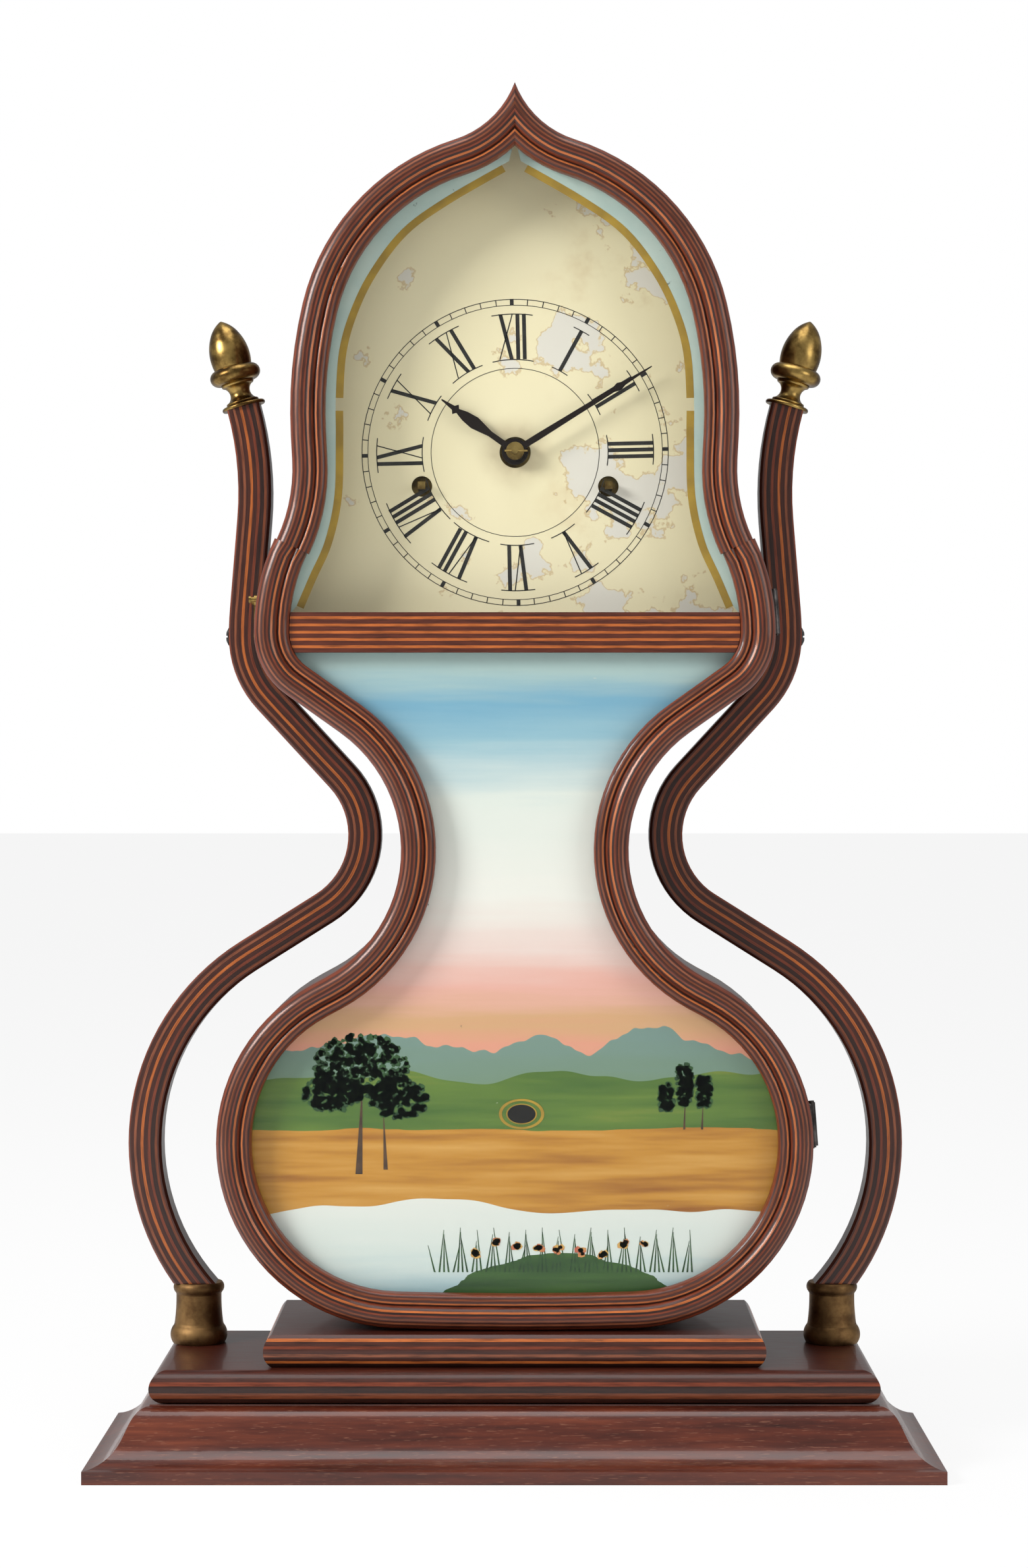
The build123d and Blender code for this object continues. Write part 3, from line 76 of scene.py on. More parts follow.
def paint(red, green, blue):
    """A colour seen on screen, as the shader's own linear values."""
    steps = [value / 255 for value in (red, green, blue)]
    return tuple(s / 12.92 if s <= 0.04045 else ((s + 0.055) / 1.055) ** 2.4 for s in steps) + (1.0,)


# Colours of the woods, metals and paints
DARK_PLY = paint(74, 36, 25)
BLACK_PLY = paint(52, 27, 20)
BROWN_PLY = paint(124, 66, 38)
RED_PLY = paint(126, 60, 36)
PINK_PLY = paint(146, 86, 58)
ORANGE_PLY = paint(190, 106, 48)
MAHOGANY = paint(76, 32, 21)
MAHOGANY_DARK = paint(42, 18, 13)
CREAM = paint(238, 228, 182)
PALE_WEAR = paint(224, 222, 212)
OCHRE_STAIN = paint(186, 146, 86)
INK = paint(22, 21, 20)
GOLD_LEAF = paint(180, 148, 50)
SKY_BORDER = paint(178, 202, 192)

# Bent shapes, as in the model: each lobe is (x, z, radius, side), in millimetres
OUTLINE_BOTTOM = 59.4
BULGE_HALF, BULGE_Z, BULGE_LOW_R, BULGE_HIGH_R = 133.4, 142.5, 82.3, 80.0
WAIST_HALF, WAIST_Z, WAIST_R = 50.8, 273.4, 64.7
SHOULDER_HALF, SHOULDER_Z, SHOULDER_LOW_R, SHOULDER_HIGH_R = 116.5, 371.0, 34.0, 99.0
NECK_HALF, NECK_Z, NECK_R = 99.3, 444.0, 74.0
HEAD_HALF, HEAD_Z, HEAD_R = 100.3, 470.0, 209.0
ARCH_R, ARCH_SPRING_Z = 101.0, 518.0
CUSP_R, TIP_Z = 42.0, 616.7
FRAME_WIDTH = 15.5
CASE_WALL = 9.0
ARM_WIDTH = 15.2
ARM_CLEAR = 0.4
ARM_BULGE_HALF, ARM_BULGE_Z, ARM_BULGE_LOW_R, ARM_BULGE_HIGH_R = 170.7, 137.4, 104.5, 101.8
ARM_WAIST_HALF, ARM_WAIST_Z, ARM_WAIST_R = 69.4, 279.3, 39.8
ARM_SHOULDER_HIGH_R = 150.0
ARM_NECK_HALF, ARM_NECK_Z, ARM_NECK_R = 120.1, 437.0, 150.0
ARM_TOP_Z, SOCKET_TOP = 477.0, 72.5

# Dial, in millimetres
DIAL_Z = 454.2
TRACK_OUTER, TRACK_INNER = 70.0, 67.3
NUMERAL_OUTER, NUMERAL_INNER = 63.1, 42.4
INNER_CIRCLE = 38.5
OUTER_LINE, THIN_LINE = 0.35, 0.3
MINUTE_MARK, HOUR_MARK = (0.42, 0.08), (1.7, 0.1)
MARK_LIFT, CIRCLE_LIFT, NUMERAL_LIFT = 0.02, 0.06, 0.07
DIAL_TURN = radians(-1.3)


def meeting(a, b):
    """Where lobe a hands over to lobe b: (x, z, normal x, normal z) stations."""
    ax, az, ar, a_side = a
    bx, bz, br, b_side = b
    dx, dz = bx - ax, bz - az
    if a_side == b_side:
        share = a_side / (ar - br)
        nx, nz = dx * share, dz * share
        return [(ax + a_side * ar * nx, az + a_side * ar * nz, nx, nz)]
    spread = acos(max(-1.0, min(1.0, (a_side * ar - b_side * br) / hypot(dx, dz))))
    for turn in (spread, -spread):
        angle = atan2(dz, dx) + turn
        nx, nz = cos(angle), sin(angle)
        start = (ax + a_side * ar * nx, az + a_side * ar * nz, nx, nz)
        end = (bx + b_side * br * nx, bz + b_side * br * nz, nx, nz)
        if (end[1] - start[1]) * nx - (end[0] - start[0]) * nz >= -1e-6:
            stations = [start, end]
    return stations


def walk(lobes, start, end):
    """Points along every lobe in turn: (x, z, outward normal x, z, length so far), in millimetres."""
    points = []
    here = start
    stops = [meeting(a, b) for a, b in zip(lobes, lobes[1:])] + [[end]]
    for (x, z, r, side), stations in zip(lobes, stops):
        begin = atan2(here[3], here[2])
        sweep = atan2(stations[0][3], stations[0][2]) - begin
        sweep = (sweep + pi) % (2 * pi) - pi
        count = max(2, int(abs(sweep) * r / ROUTE_STEP))
        for k in range(count + 1):
            angle = begin + sweep * k / count
            nx, nz = cos(angle), sin(angle)
            points.append((x + side * r * nx, z + side * r * nz, nx, nz))
        if len(stations) == 2:
            (sx, sz, nx, nz), (ex, ez) = stations[0], stations[1][:2]
            count = int(hypot(ex - sx, ez - sz) / ROUTE_STEP)
            for k in range(1, count):
                points.append((sx + (ex - sx) * k / count, sz + (ez - sz) * k / count, nx, nz))
        here = stations[-1]
    route = []
    length = 0.0
    for k, (x, z, nx, nz) in enumerate(points):
        if k:
            length += hypot(x - points[k - 1][0], z - points[k - 1][1])
        route.append((x, z, nx, nz, length))
    return route


def outline_route():
    """Right half of the clock's outline from the bottom centre to the tip."""
    head_x = HEAD_HALF - HEAD_R
    spring = asin((ARCH_SPRING_Z - HEAD_Z) / HEAD_R)
    arch_x = head_x + (HEAD_R - ARCH_R) * cos(spring)
    arch_z = HEAD_Z + (HEAD_R - ARCH_R) * sin(spring)
    apart = hypot(arch_x, arch_z - TIP_Z)
    along = ((ARCH_R + CUSP_R) ** 2 - CUSP_R**2 + apart**2) / (2 * apart)
    across = sqrt((ARCH_R + CUSP_R) ** 2 - along**2)
    cusp_x = arch_x - along * arch_x / apart + across * (TIP_Z - arch_z) / apart
    cusp_z = arch_z + along * (TIP_Z - arch_z) / apart + across * arch_x / apart
    low_centre = BULGE_HALF - BULGE_LOW_R
    rise = OUTLINE_BOTTOM - BULGE_Z
    bottom_r = (BULGE_LOW_R**2 - low_centre**2 - rise**2) / (2 * (rise + BULGE_LOW_R))
    lobes = [
        (0.0, OUTLINE_BOTTOM + bottom_r, bottom_r, 1),
        (low_centre, BULGE_Z, BULGE_LOW_R, 1),
        (BULGE_HALF - BULGE_HIGH_R, BULGE_Z, BULGE_HIGH_R, 1),
        (WAIST_HALF + WAIST_R, WAIST_Z, WAIST_R, -1),
        (SHOULDER_HALF - SHOULDER_LOW_R, SHOULDER_Z, SHOULDER_LOW_R, 1),
        (SHOULDER_HALF - SHOULDER_HIGH_R, SHOULDER_Z, SHOULDER_HIGH_R, 1),
        (NECK_HALF + NECK_R, NECK_Z, NECK_R, -1),
        (head_x, HEAD_Z, HEAD_R, 1),
        (arch_x, arch_z, ARCH_R, 1),
        (cusp_x, cusp_z, CUSP_R, -1),
    ]
    start = (0.0, OUTLINE_BOTTOM, 0.0, -1.0)
    end = (0.0, TIP_Z, cusp_x / CUSP_R, (cusp_z - TIP_Z) / CUSP_R)
    return walk(lobes, start, end)


def arm_route():
    """Centre line of the right arm from its socket to its top."""
    shoulder = SHOULDER_HALF + ARM_CLEAR + ARM_WIDTH / 2
    shoulder_low_r = SHOULDER_LOW_R + ARM_CLEAR + ARM_WIDTH / 2
    lobes = [
        (ARM_BULGE_HALF - ARM_BULGE_LOW_R, ARM_BULGE_Z, ARM_BULGE_LOW_R, 1),
        (ARM_BULGE_HALF - ARM_BULGE_HIGH_R, ARM_BULGE_Z, ARM_BULGE_HIGH_R, 1),
        (ARM_WAIST_HALF + ARM_WAIST_R, ARM_WAIST_Z, ARM_WAIST_R, -1),
        (shoulder - shoulder_low_r, SHOULDER_Z, shoulder_low_r, 1),
        (shoulder - ARM_SHOULDER_HIGH_R, SHOULDER_Z, ARM_SHOULDER_HIGH_R, 1),
        (ARM_NECK_HALF + ARM_NECK_R, ARM_NECK_Z, ARM_NECK_R, -1),
    ]
    x, z, r = lobes[0][:3]
    foot = sqrt(r**2 - (SOCKET_TOP - z) ** 2)
    lean = asin((ARM_TOP_Z - ARM_NECK_Z) / ARM_NECK_R)
    start = (x + foot, SOCKET_TOP, foot / r, (SOCKET_TOP - z) / r)
    end = (0.0, 0.0, cos(lean), -sin(lean))
    return walk(lobes, start, end)


class Value:
    """A socket that takes part in sums, which add Math nodes to its tree."""

    def __init__(self, finish, socket):
        self.finish = finish
        self.socket = socket

    def math(self, operation, *values):
        """One Math node on these values."""
        made = self.finish.tree.nodes.new("ShaderNodeMath")
        made.operation = operation
        for socket, value in zip(made.inputs, values):
            self.finish.feed(socket, value)
        return Value(self.finish, made.outputs[0])

    def __add__(self, other):
        return self.math("ADD", self, other)

    __radd__ = __add__

    def __mul__(self, other):
        return self.math("MULTIPLY", self, other)

    __rmul__ = __mul__

    def __sub__(self, other):
        return self.math("SUBTRACT", self, other)

    def __rsub__(self, other):
        return self.math("SUBTRACT", other, self)

    def __gt__(self, other):
        return self.math("GREATER_THAN", self, other)

    def __lt__(self, other):
        return self.math("LESS_THAN", self, other)

    def ease(self, low, high):
        """0 below low and 1 above high, smooth between them."""
        return self.finish.node(
            "ShaderNodeMapRange",
            {"interpolation_type": "SMOOTHSTEP"},
            {"Value": self, "From Min": low, "From Max": high},
        )


class Finish:
    """A material and its tree of nodes."""

    def __init__(self, name):
        self.material = bpy.data.materials.new(name)
        self.material.use_nodes = True
        self.tree = self.material.node_tree
        self.surface = self.tree.nodes["Principled BSDF"]

    def feed(self, socket, value):
        """Link or set one socket."""
        if isinstance(value, Value):
            self.tree.links.new(value.socket, socket)
        else:
            socket.default_value = value

    def node(self, kind, settings=None, inputs=None, output=0):
        """A node with its settings, then its sockets, and one of its outputs as a Value."""
        made = self.tree.nodes.new(kind)
        for key, value in (settings or {}).items():
            if key == "stops":
                ramp = made.color_ramp
                ramp.elements.remove(ramp.elements[1])
                ramp.elements[0].position = value[0][0]
                ramp.elements[0].color = value[0][1]
                for place, colour in value[1:]:
                    ramp.elements.new(place).color = colour
            elif key == "ramp_steps":
                made.color_ramp.interpolation = value
            else:
                setattr(made, key, value)
        for key, value in (inputs or {}).items():
            self.feed(made.inputs[key], value)
        return Value(self, made.outputs[output])

    def place(self):
        """Object coordinates, and their X, Y and Z in metres."""
        where = self.node("ShaderNodeTexCoord", output="Object")
        split = self.node("ShaderNodeSeparateXYZ", None, {"Vector": where})
        axes = [Value(self, socket) for socket in split.socket.node.outputs]
        return where, axes

    def point(self, x, y, z):
        """A vector from three values."""
        return self.node("ShaderNodeCombineXYZ", None, {"X": x, "Y": y, "Z": z})

    def noise(self, vector, scale, detail=3.0, roughness=0.5):
        """Noise from 0 to 1."""
        sockets = {"Vector": vector, "Scale": scale, "Detail": detail, "Roughness": roughness}
        return self.node("ShaderNodeTexNoise", None, sockets)

    def mix(self, factor, a, b, blend="MIX"):
        """Colour a turning into colour b."""
        made = self.tree.nodes.new("ShaderNodeMix")
        made.data_type = "RGBA"
        made.blend_type = blend
        self.feed(made.inputs["Factor"], factor)
        self.feed(made.inputs[6], a)
        self.feed(made.inputs[7], b)
        return Value(self, made.outputs[2])

    def ramp(self, value, stops, steps="LINEAR"):
        """A colour for each value."""
        return self.node("ShaderNodeValToRGB", {"ramp_steps": steps, "stops": stops}, {"Fac": value})

    def bump(self, height, strength, distance):
        """Small relief in the shading."""
        sockets = {"Height": height, "Strength": strength, "Distance": distance}
        self.feed(self.surface.inputs["Normal"], self.node("ShaderNodeBump", None, sockets))

    def coat(self, **sockets):
        """Set or link the surface's own sockets, named with underscores for spaces."""
        for key, value in sockets.items():
            self.feed(self.surface.inputs[key.replace("_", " ")], value)
        return self.material


# How light the grain leaves the layers, and the colour of the open pores
GRAIN_SHADES = [(0.28, paint(150, 140, 134)), (0.52, paint(226, 218, 212)), (0.75, paint(255, 250, 244))]
PORE = paint(40, 20, 14)


def object_place(finish):
    """Object coordinates alone."""
    return finish.place()[0]


def stretched(finish, axes, x, y, z):
    """Object coordinates, each at its own scale: the smallest draws a pattern out along its axis."""
    return finish.point(axes[0] * x, axes[1] * y, axes[2] * z)


def striped(name, layers, share, grain_vector):
    """Glued layers of wood: even steps of colour across the piece, with grain along them."""
    settings = bpy.context.scene.clock_wood
    finish = Finish(name)
    share_value = share(finish)
    wobble = finish.noise(object_place(finish), 26.0, 2.0)
    total = sum(width for width, colour in layers)
    stops = []
    reached = 0.0
    for width, colour in layers:
        stops.append((reached / total, colour))
        reached += width
    stripes = finish.ramp(share_value + (wobble - 0.5) * settings.waver, stops, "CONSTANT")
    grain = finish.noise(grain_vector(finish), 1.0, 4.0, 0.6)
    pores = finish.noise(grain_vector(finish), 2.7, 2.0, 0.4).ease(0.62, 0.74)
    wood = finish.mix(1.0, stripes, finish.ramp(grain, GRAIN_SHADES), "MULTIPLY")
    wood = finish.mix(pores * 0.35, wood, PORE)
    finish.bump(grain - pores * 0.6, 0.25, 0.0002)
    return finish.coat(
        Base_Color=wood,
        Roughness=0.3 + grain * 0.22,
        Specular_IOR_Level=0.3,
        Coat_Weight=settings.polish,
        Coat_Roughness=0.1,
    )


def along_path(finish):
    """Grain coordinates on a bent piece: drawn out along it."""
    along = finish.node("ShaderNodeAttribute", {"attribute_name": "along"}, output="Fac")
    across = finish.node("ShaderNodeAttribute", {"attribute_name": "across"}, output="Fac")
    axes = finish.place()[1]
    return finish.point(along * 70.0, across * 1500.0, axes[1] * 900.0)


def along_x(finish):
    """Grain coordinates on a straight board: drawn out along X."""
    axes = finish.place()[1]
    return stretched(finish, axes, 60.0, 700.0, 900.0)


def path_share(width):
    """The share of a bent piece's width, from its outer face."""

    def share(finish):
        across = finish.node("ShaderNodeAttribute", {"attribute_name": "across"}, output="Fac")
        return across * (1 / (width * MM))

    return share


def height_share(node):
    """The share of a board's height, from its top."""
    low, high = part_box(node)

    def share(finish):
        axes = finish.place()[1]
        return (high.z - axes[2]) * (1 / (high.z - low.z))

    return share


# The layers of each wooden piece from its outer face or top: (thickness in millimetres, colour)
FRAME_LAYERS = [
    (1.3, RED_PLY), (0.9, DARK_PLY), (0.8, PINK_PLY), (1.0, DARK_PLY), (0.8, BROWN_PLY), (1.0, DARK_PLY),
    (0.8, RED_PLY), (1.0, BLACK_PLY), (0.9, ORANGE_PLY), (1.0, DARK_PLY), (0.8, RED_PLY), (0.9, BLACK_PLY),
    (0.8, ORANGE_PLY), (1.1, DARK_PLY), (0.8, BROWN_PLY), (0.9, DARK_PLY), (0.8, RED_PLY),
]
ARM_LAYERS = [
    (0.6, RED_PLY), (2.0, DARK_PLY), (1.1, PINK_PLY), (2.0, DARK_PLY), (1.3, ORANGE_PLY), (1.9, DARK_PLY),
    (1.2, RED_PLY), (2.0, BLACK_PLY), (1.2, BROWN_PLY), (1.9, DARK_PLY),
]
CASE_LAYERS = [
    (1.4, MAHOGANY), (1.5, DARK_PLY), (1.2, ORANGE_PLY), (1.6, DARK_PLY), (1.4, BROWN_PLY), (1.9, DARK_PLY),
]
BAR_DARK = paint(92, 42, 26)
BAR_LAYERS = [(1.4, BAR_DARK)] + 5 * [(0.9, ORANGE_PLY), (1.5, BAR_DARK)]
BOARD_LAYERS = [
    (1.6, MAHOGANY), (2.6, DARK_PLY), (1.6, RED_PLY), (3.0, BLACK_PLY), (2.6, BROWN_PLY), (3.0, BLACK_PLY),
]
PLINTH_LAYERS = [
    (1.4, MAHOGANY), (1.3, ORANGE_PLY), (1.9, DARK_PLY), (1.2, RED_PLY), (2.2, DARK_PLY), (1.4, PINK_PLY),
    (1.8, DARK_PLY), (1.2, ORANGE_PLY), (2.1, BLACK_PLY),
]


def metal(name, colour, dark, roughness, wear_scale=120.0):
    """A metal with worn and darkened patches."""
    finish = Finish(name)
    where = object_place(finish)
    patches = finish.noise(where, wear_scale, 5.0, 0.6)
    fine = finish.noise(where, wear_scale * 9, 2.0)
    finish.bump(fine, 0.12, 0.0001)
    return finish.coat(
        Base_Color=finish.mix(patches.ease(0.35, 0.68), dark, colour),
        Metallic=1.0,
        Roughness=roughness + patches * 0.2,
    )


def plain(name, colour, roughness, **sockets):
    """One even finish."""
    return Finish(name).coat(Base_Color=colour, Roughness=roughness, **sockets)


def mahogany_veneer():
    """Dark red polished veneer with figure along X."""
    finish = Finish("Mahogany veneer")
    axes = finish.place()[1]
    long_grain = finish.noise(stretched(finish, axes, 22.0, 260.0, 300.0), 1.0, 5.0, 0.62)
    figure = finish.noise(stretched(finish, axes, 9.0, 40.0, 60.0), 1.0, 3.0)
    pores = finish.noise(stretched(finish, axes, 160.0, 1500.0, 1900.0), 1.0, 2.0).ease(0.6, 0.72)
    wood = finish.ramp(
        long_grain * 0.65 + figure * 0.35,
        [(0.3, MAHOGANY_DARK), (0.47, MAHOGANY), (0.62, paint(98, 44, 26)), (0.76, paint(120, 58, 34))],
    )
    finish.bump(long_grain - pores * 0.5, 0.15, 0.0002)
    return finish.coat(
        Base_Color=finish.mix(pores * 0.3, wood, paint(160, 110, 86)),
        Roughness=0.24 + long_grain * 0.14,
        Specular_IOR_Level=0.3,
        Coat_Weight=0.4,
        Coat_Roughness=0.06,
    )


def plain_wood():
    """Unpolished softwood for the back and inner pieces."""
    finish = Finish("Plain wood")
    axes = finish.place()[1]
    grain = finish.noise(stretched(finish, axes, 260.0, 260.0, 14.0), 1.0, 5.0, 0.6)
    shades = [(0.3, paint(92, 58, 34)), (0.55, paint(140, 96, 58)), (0.75, paint(164, 120, 76))]
    wood = finish.ramp(grain, shades)
    finish.bump(grain, 0.2, 0.0003)
    return finish.coat(Base_Color=wood, Roughness=0.62)


def clear_glass():
    """Thin clear glass: mostly seen through, with gloss."""
    return plain("Clear glass", (0.05, 0.06, 0.055, 1.0), 0.03, Alpha=0.05, IOR=1.45)


def dial_paint():
    """Cream paint on zinc with pale worn patches, ochre stains and small chips."""
    finish = Finish("Dial paint")
    where, axes = finish.place()
    broad = finish.noise(where, 9.0, 3.0)
    ground = finish.mix(broad, CREAM, paint(242, 234, 198))
    right = axes[0].ease(-0.01, 0.06)
    patches = finish.noise(where, 34.0, 6.0, 0.55)
    worn = (patches + right * 0.1).ease(0.6, 0.615)
    rim = (patches + right * 0.1).ease(0.585, 0.6) - worn
    stains = finish.noise(where, 20.0, 5.0, 0.65).ease(0.56, 0.75) * right
    centre = finish.point(axes[0], 0.0, axes[2] - DIAL_Z * MM)
    from_centre = finish.node("ShaderNodeVectorMath", {"operation": "LENGTH"}, {0: centre}, 1)
    halo = (1.0 - from_centre.ease(0.007, 0.02)) * finish.noise(where, 150.0, 4.0)
    colour = finish.mix(stains * 0.45, ground, OCHRE_STAIN)
    colour = finish.mix(rim * 0.5, colour, OCHRE_STAIN)
    colour = finish.mix(worn * 0.85, colour, PALE_WEAR)
    colour = finish.mix(halo * 0.6, colour, paint(150, 120, 78))
    chips = finish.noise(where, 90.0, 3.0, 0.7).ease(0.745, 0.76)
    colour = finish.mix(chips, colour, paint(92, 90, 84))
    finish.bump(patches - worn * 0.2, 0.1, 0.0002)
    return finish.coat(Base_Color=colour, Roughness=0.5)


def painted(name, colours, scale=60.0, chip=0.0):
    """Brushed paint behind glass, in two tones, with small losses where chip is over zero."""
    finish = Finish(name)
    where = object_place(finish)
    tone = finish.noise(where, scale, 4.0, 0.6)
    colour = finish.mix(tone.ease(0.3, 0.7), *colours)
    if chip:
        losses = finish.noise(where, scale * 3, 5.0, 0.7).ease(0.66, 0.7)
        colour = finish.mix(losses * chip, colour, paint(70, 74, 66))
    return finish.coat(Base_Color=colour, Roughness=0.45)


# Heights in the tablet's view, in metres: its foot and its whole height, then where each band ends
VIEW_FOOT, VIEW_HEIGHT = 0.06, 0.31
FAR_HILLS_Z, NEAR_HILLS_Z, SHORE_Z, WATER_Z, MOUND_Z = 0.162, 0.157, 0.148, 0.097, 0.092


def tablet_painting():
    """A made-up lake view in bands of colour: sky, evening haze, far hills, shore, water and near bank."""
    finish = Finish("Tablet painting")
    axes = finish.place()[1]
    x, z = axes[0], axes[2]
    streaks = finish.noise(finish.point(x * 9.0, 0.0, z * 130.0), 1.0, 4.0, 0.55)
    height = z + (streaks - 0.5) * 0.022
    share = (height - VIEW_FOOT) * (1 / VIEW_HEIGHT)
    sky = finish.ramp(
        share,
        [
            (0.3, paint(196, 140, 96)), (0.36, paint(208, 146, 98)), (0.4, paint(226, 158, 132)),
            (0.44, paint(212, 168, 122)), (0.49, paint(232, 178, 162)), (0.55, paint(234, 214, 204)),
            (0.62, paint(236, 236, 226)), (0.76, paint(224, 232, 222)), (0.85, paint(150, 192, 204)),
            (0.9, paint(120, 174, 198)), (0.95, paint(176, 204, 200)), (1.0, paint(186, 212, 206)),
        ],
    )
    ridge_far = finish.noise(finish.point(x * 24.0, 3.0, 0.0), 1.0, 3.0) * 0.05
    far_greens = finish.ramp(share, [(0.28, paint(112, 140, 96)), (0.42, paint(120, 148, 138))])
    colour = finish.mix(z < ridge_far + FAR_HILLS_Z, sky, far_greens)
    ridge_near = finish.noise(finish.point(x * 13.0, 9.0, 0.0), 1.0, 2.0) * 0.03
    greens = [(0.3, paint(60, 98, 42)), (0.6, paint(98, 128, 52)), (0.8, paint(140, 146, 62))]
    colour = finish.mix(z < ridge_near + NEAR_HILLS_Z, colour, finish.ramp(streaks, greens))
    shore = (z + (streaks - 0.5) * 0.01) < SHORE_Z
    sand = finish.ramp(
        streaks, [(0.3, paint(150, 92, 34)), (0.5, paint(196, 140, 52)), (0.7, paint(214, 164, 84))]
    )
    colour = finish.mix(shore, colour, sand)
    bank = finish.noise(finish.point(x * 10.0, 21.0, 0.0), 1.0, 2.0) * 0.03
    water = [(0.02, paint(138, 186, 198)), (0.1, paint(214, 226, 218)), (0.22, paint(232, 234, 224))]
    colour = finish.mix(z < bank + WATER_Z, colour, finish.ramp(share, water))
    mound = MOUND_Z - (x - 0.02) * (x - 0.02) * 6.0 + (streaks - 0.5) * 0.01
    dark_greens = finish.ramp(streaks, [(0.3, paint(26, 62, 30)), (0.7, paint(70, 108, 48))])
    colour = finish.mix(z < mound, colour, dark_greens)
    flecks = finish.noise(finish.point(x * 90.0, 0.0, z * 260.0), 1.0, 5.0, 0.7).ease(0.7, 0.73)
    colour = finish.mix(flecks * 0.6, colour, paint(226, 222, 200))
    soot = finish.noise(object_place(finish), 60.0, 6.0, 0.75).ease(0.72, 0.74)
    colour = finish.mix(soot * 0.7, colour, paint(74, 76, 62))
    return finish.coat(Base_Color=colour, Roughness=0.4)


finishes = {}


def make_finishes():
    """Every finish of the clock, once."""
    finishes.update(
        frame=striped("Striped door frame", FRAME_LAYERS, path_share(FRAME_WIDTH), along_path),
        arm=striped("Striped arm", ARM_LAYERS, path_share(ARM_WIDTH), along_path),
        case=striped("Striped case side", CASE_LAYERS, path_share(CASE_WALL), along_path),
        bar=striped("Striped crossbar", BAR_LAYERS, height_share("door_crossbar"), along_x),
        board=striped("Striped base board", BOARD_LAYERS, height_share("base_board"), along_x),
        plinth=striped("Striped plinth board", PLINTH_LAYERS, height_share("plinth_board"), along_x),
        mahogany=mahogany_veneer(),
        softwood=plain_wood(),
        brass=metal("Old brass", paint(188, 162, 96), paint(112, 88, 46), 0.22),
        finial=metal("Finial brass", paint(176, 146, 84), paint(84, 62, 32), 0.2, 90.0),
        bronze=metal("Worn bronze", paint(136, 106, 68), paint(88, 64, 40), 0.42, 90.0),
        steel=metal("Dark steel", paint(96, 92, 90), paint(44, 42, 42), 0.32),
        blued=plain("Blackened hands", paint(38, 28, 26), 0.35, Metallic=0.6),
        iron=metal("Cast iron", paint(66, 64, 62), paint(34, 33, 33), 0.6),
        cord=plain("Cord", paint(170, 152, 116), 0.9),
        glass=clear_glass(),
        dial=dial_paint(),
        ink=painted("Dial ink", (INK, paint(44, 42, 38)), 90.0),
        gold=painted("Gold leaf", (GOLD_LEAF, paint(150, 122, 44)), 70.0),
        border=painted("Border paint", (SKY_BORDER, paint(190, 210, 198)), 40.0, 0.8),
        view=tablet_painting(),
        foliage=painted("Foliage", (paint(24, 56, 30), paint(52, 92, 44)), 300.0),
        bark=painted("Bark", (paint(60, 44, 34), paint(92, 66, 44)), 200.0),
        petal=painted("Petals", (paint(214, 176, 92), paint(190, 84, 72)), 160.0),
        # Near-black painted shade, standing for the case's shaded inside seen through the tablet's oval
        # window
        hole=plain("Painted shade in the oval window", paint(18, 16, 14), 0.8),
    )


def body_of_node(node):
    """The body that a CAD node belongs to."""
    bodies = frame["record"]["behaviour"]["bodies"]
    return next(name for name, nodes in bodies.items() if node in nodes)


def shade(mesh):
    """Smooth shading with sharp edges kept."""
    mesh.shade_smooth()
    mesh.set_sharp_from_angle(angle=SHARP_ANGLE)


def new_piece(name, mesh, finish, body):
    """A finished piece in the scene, riding on a body."""
    mesh.materials.clear()
    mesh.materials.append(finishes[finish])
    piece = bpy.data.objects.new(name, mesh)
    bpy.context.scene.collection.objects.link(piece)
    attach(piece, body)
    return piece


def merged_copy(node):
    """A copy of a CAD node's mesh with its loose triangles joined."""
    mesh = frame["nodes"][node].data.copy()
    mesh.name = node + "_dressed"
    form = bmesh.new()
    form.from_mesh(mesh)
    bmesh.ops.remove_doubles(form, verts=form.verts, dist=1e-6)
    form.to_mesh(mesh)
    form.free()
    if mesh.has_custom_normals:
        mesh.attributes.remove(mesh.attributes["custom_normal"])
    return mesh


def stamp_grain(mesh, route, outer):
    """Note each corner's distance in from the outer face and along the route, in metres."""
    across = mesh.attributes.new("across", "FLOAT", "POINT")
    along = mesh.attributes.new("along", "FLOAT", "POINT")
    table = np.array(route)
    spots = np.array([(abs(v.co.x) / MM, v.co.z / MM) for v in mesh.vertices])
    apart = (spots[:, None, 0] - table[None, :, 0]) ** 2 + (spots[:, None, 1] - table[None, :, 1]) ** 2
    nearest = table[apart.argmin(axis=1)]
    inward = (nearest[:, 0] - spots[:, 0]) * nearest[:, 2] + (nearest[:, 1] - spots[:, 1]) * nearest[:, 3]
    across.data.foreach_set("value", (inward + outer) * MM)
    along.data.foreach_set("value", nearest[:, 4] * MM)


def bent_piece(node, route, outer, finish):
    """A bent CAD node with striped layers that follow its curve."""
    mesh = merged_copy(node)
    stamp_grain(mesh, route, outer)
    shade(mesh)
    piece = new_piece(node + "_striped", mesh, finish, body_of_node(node))
    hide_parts(node)


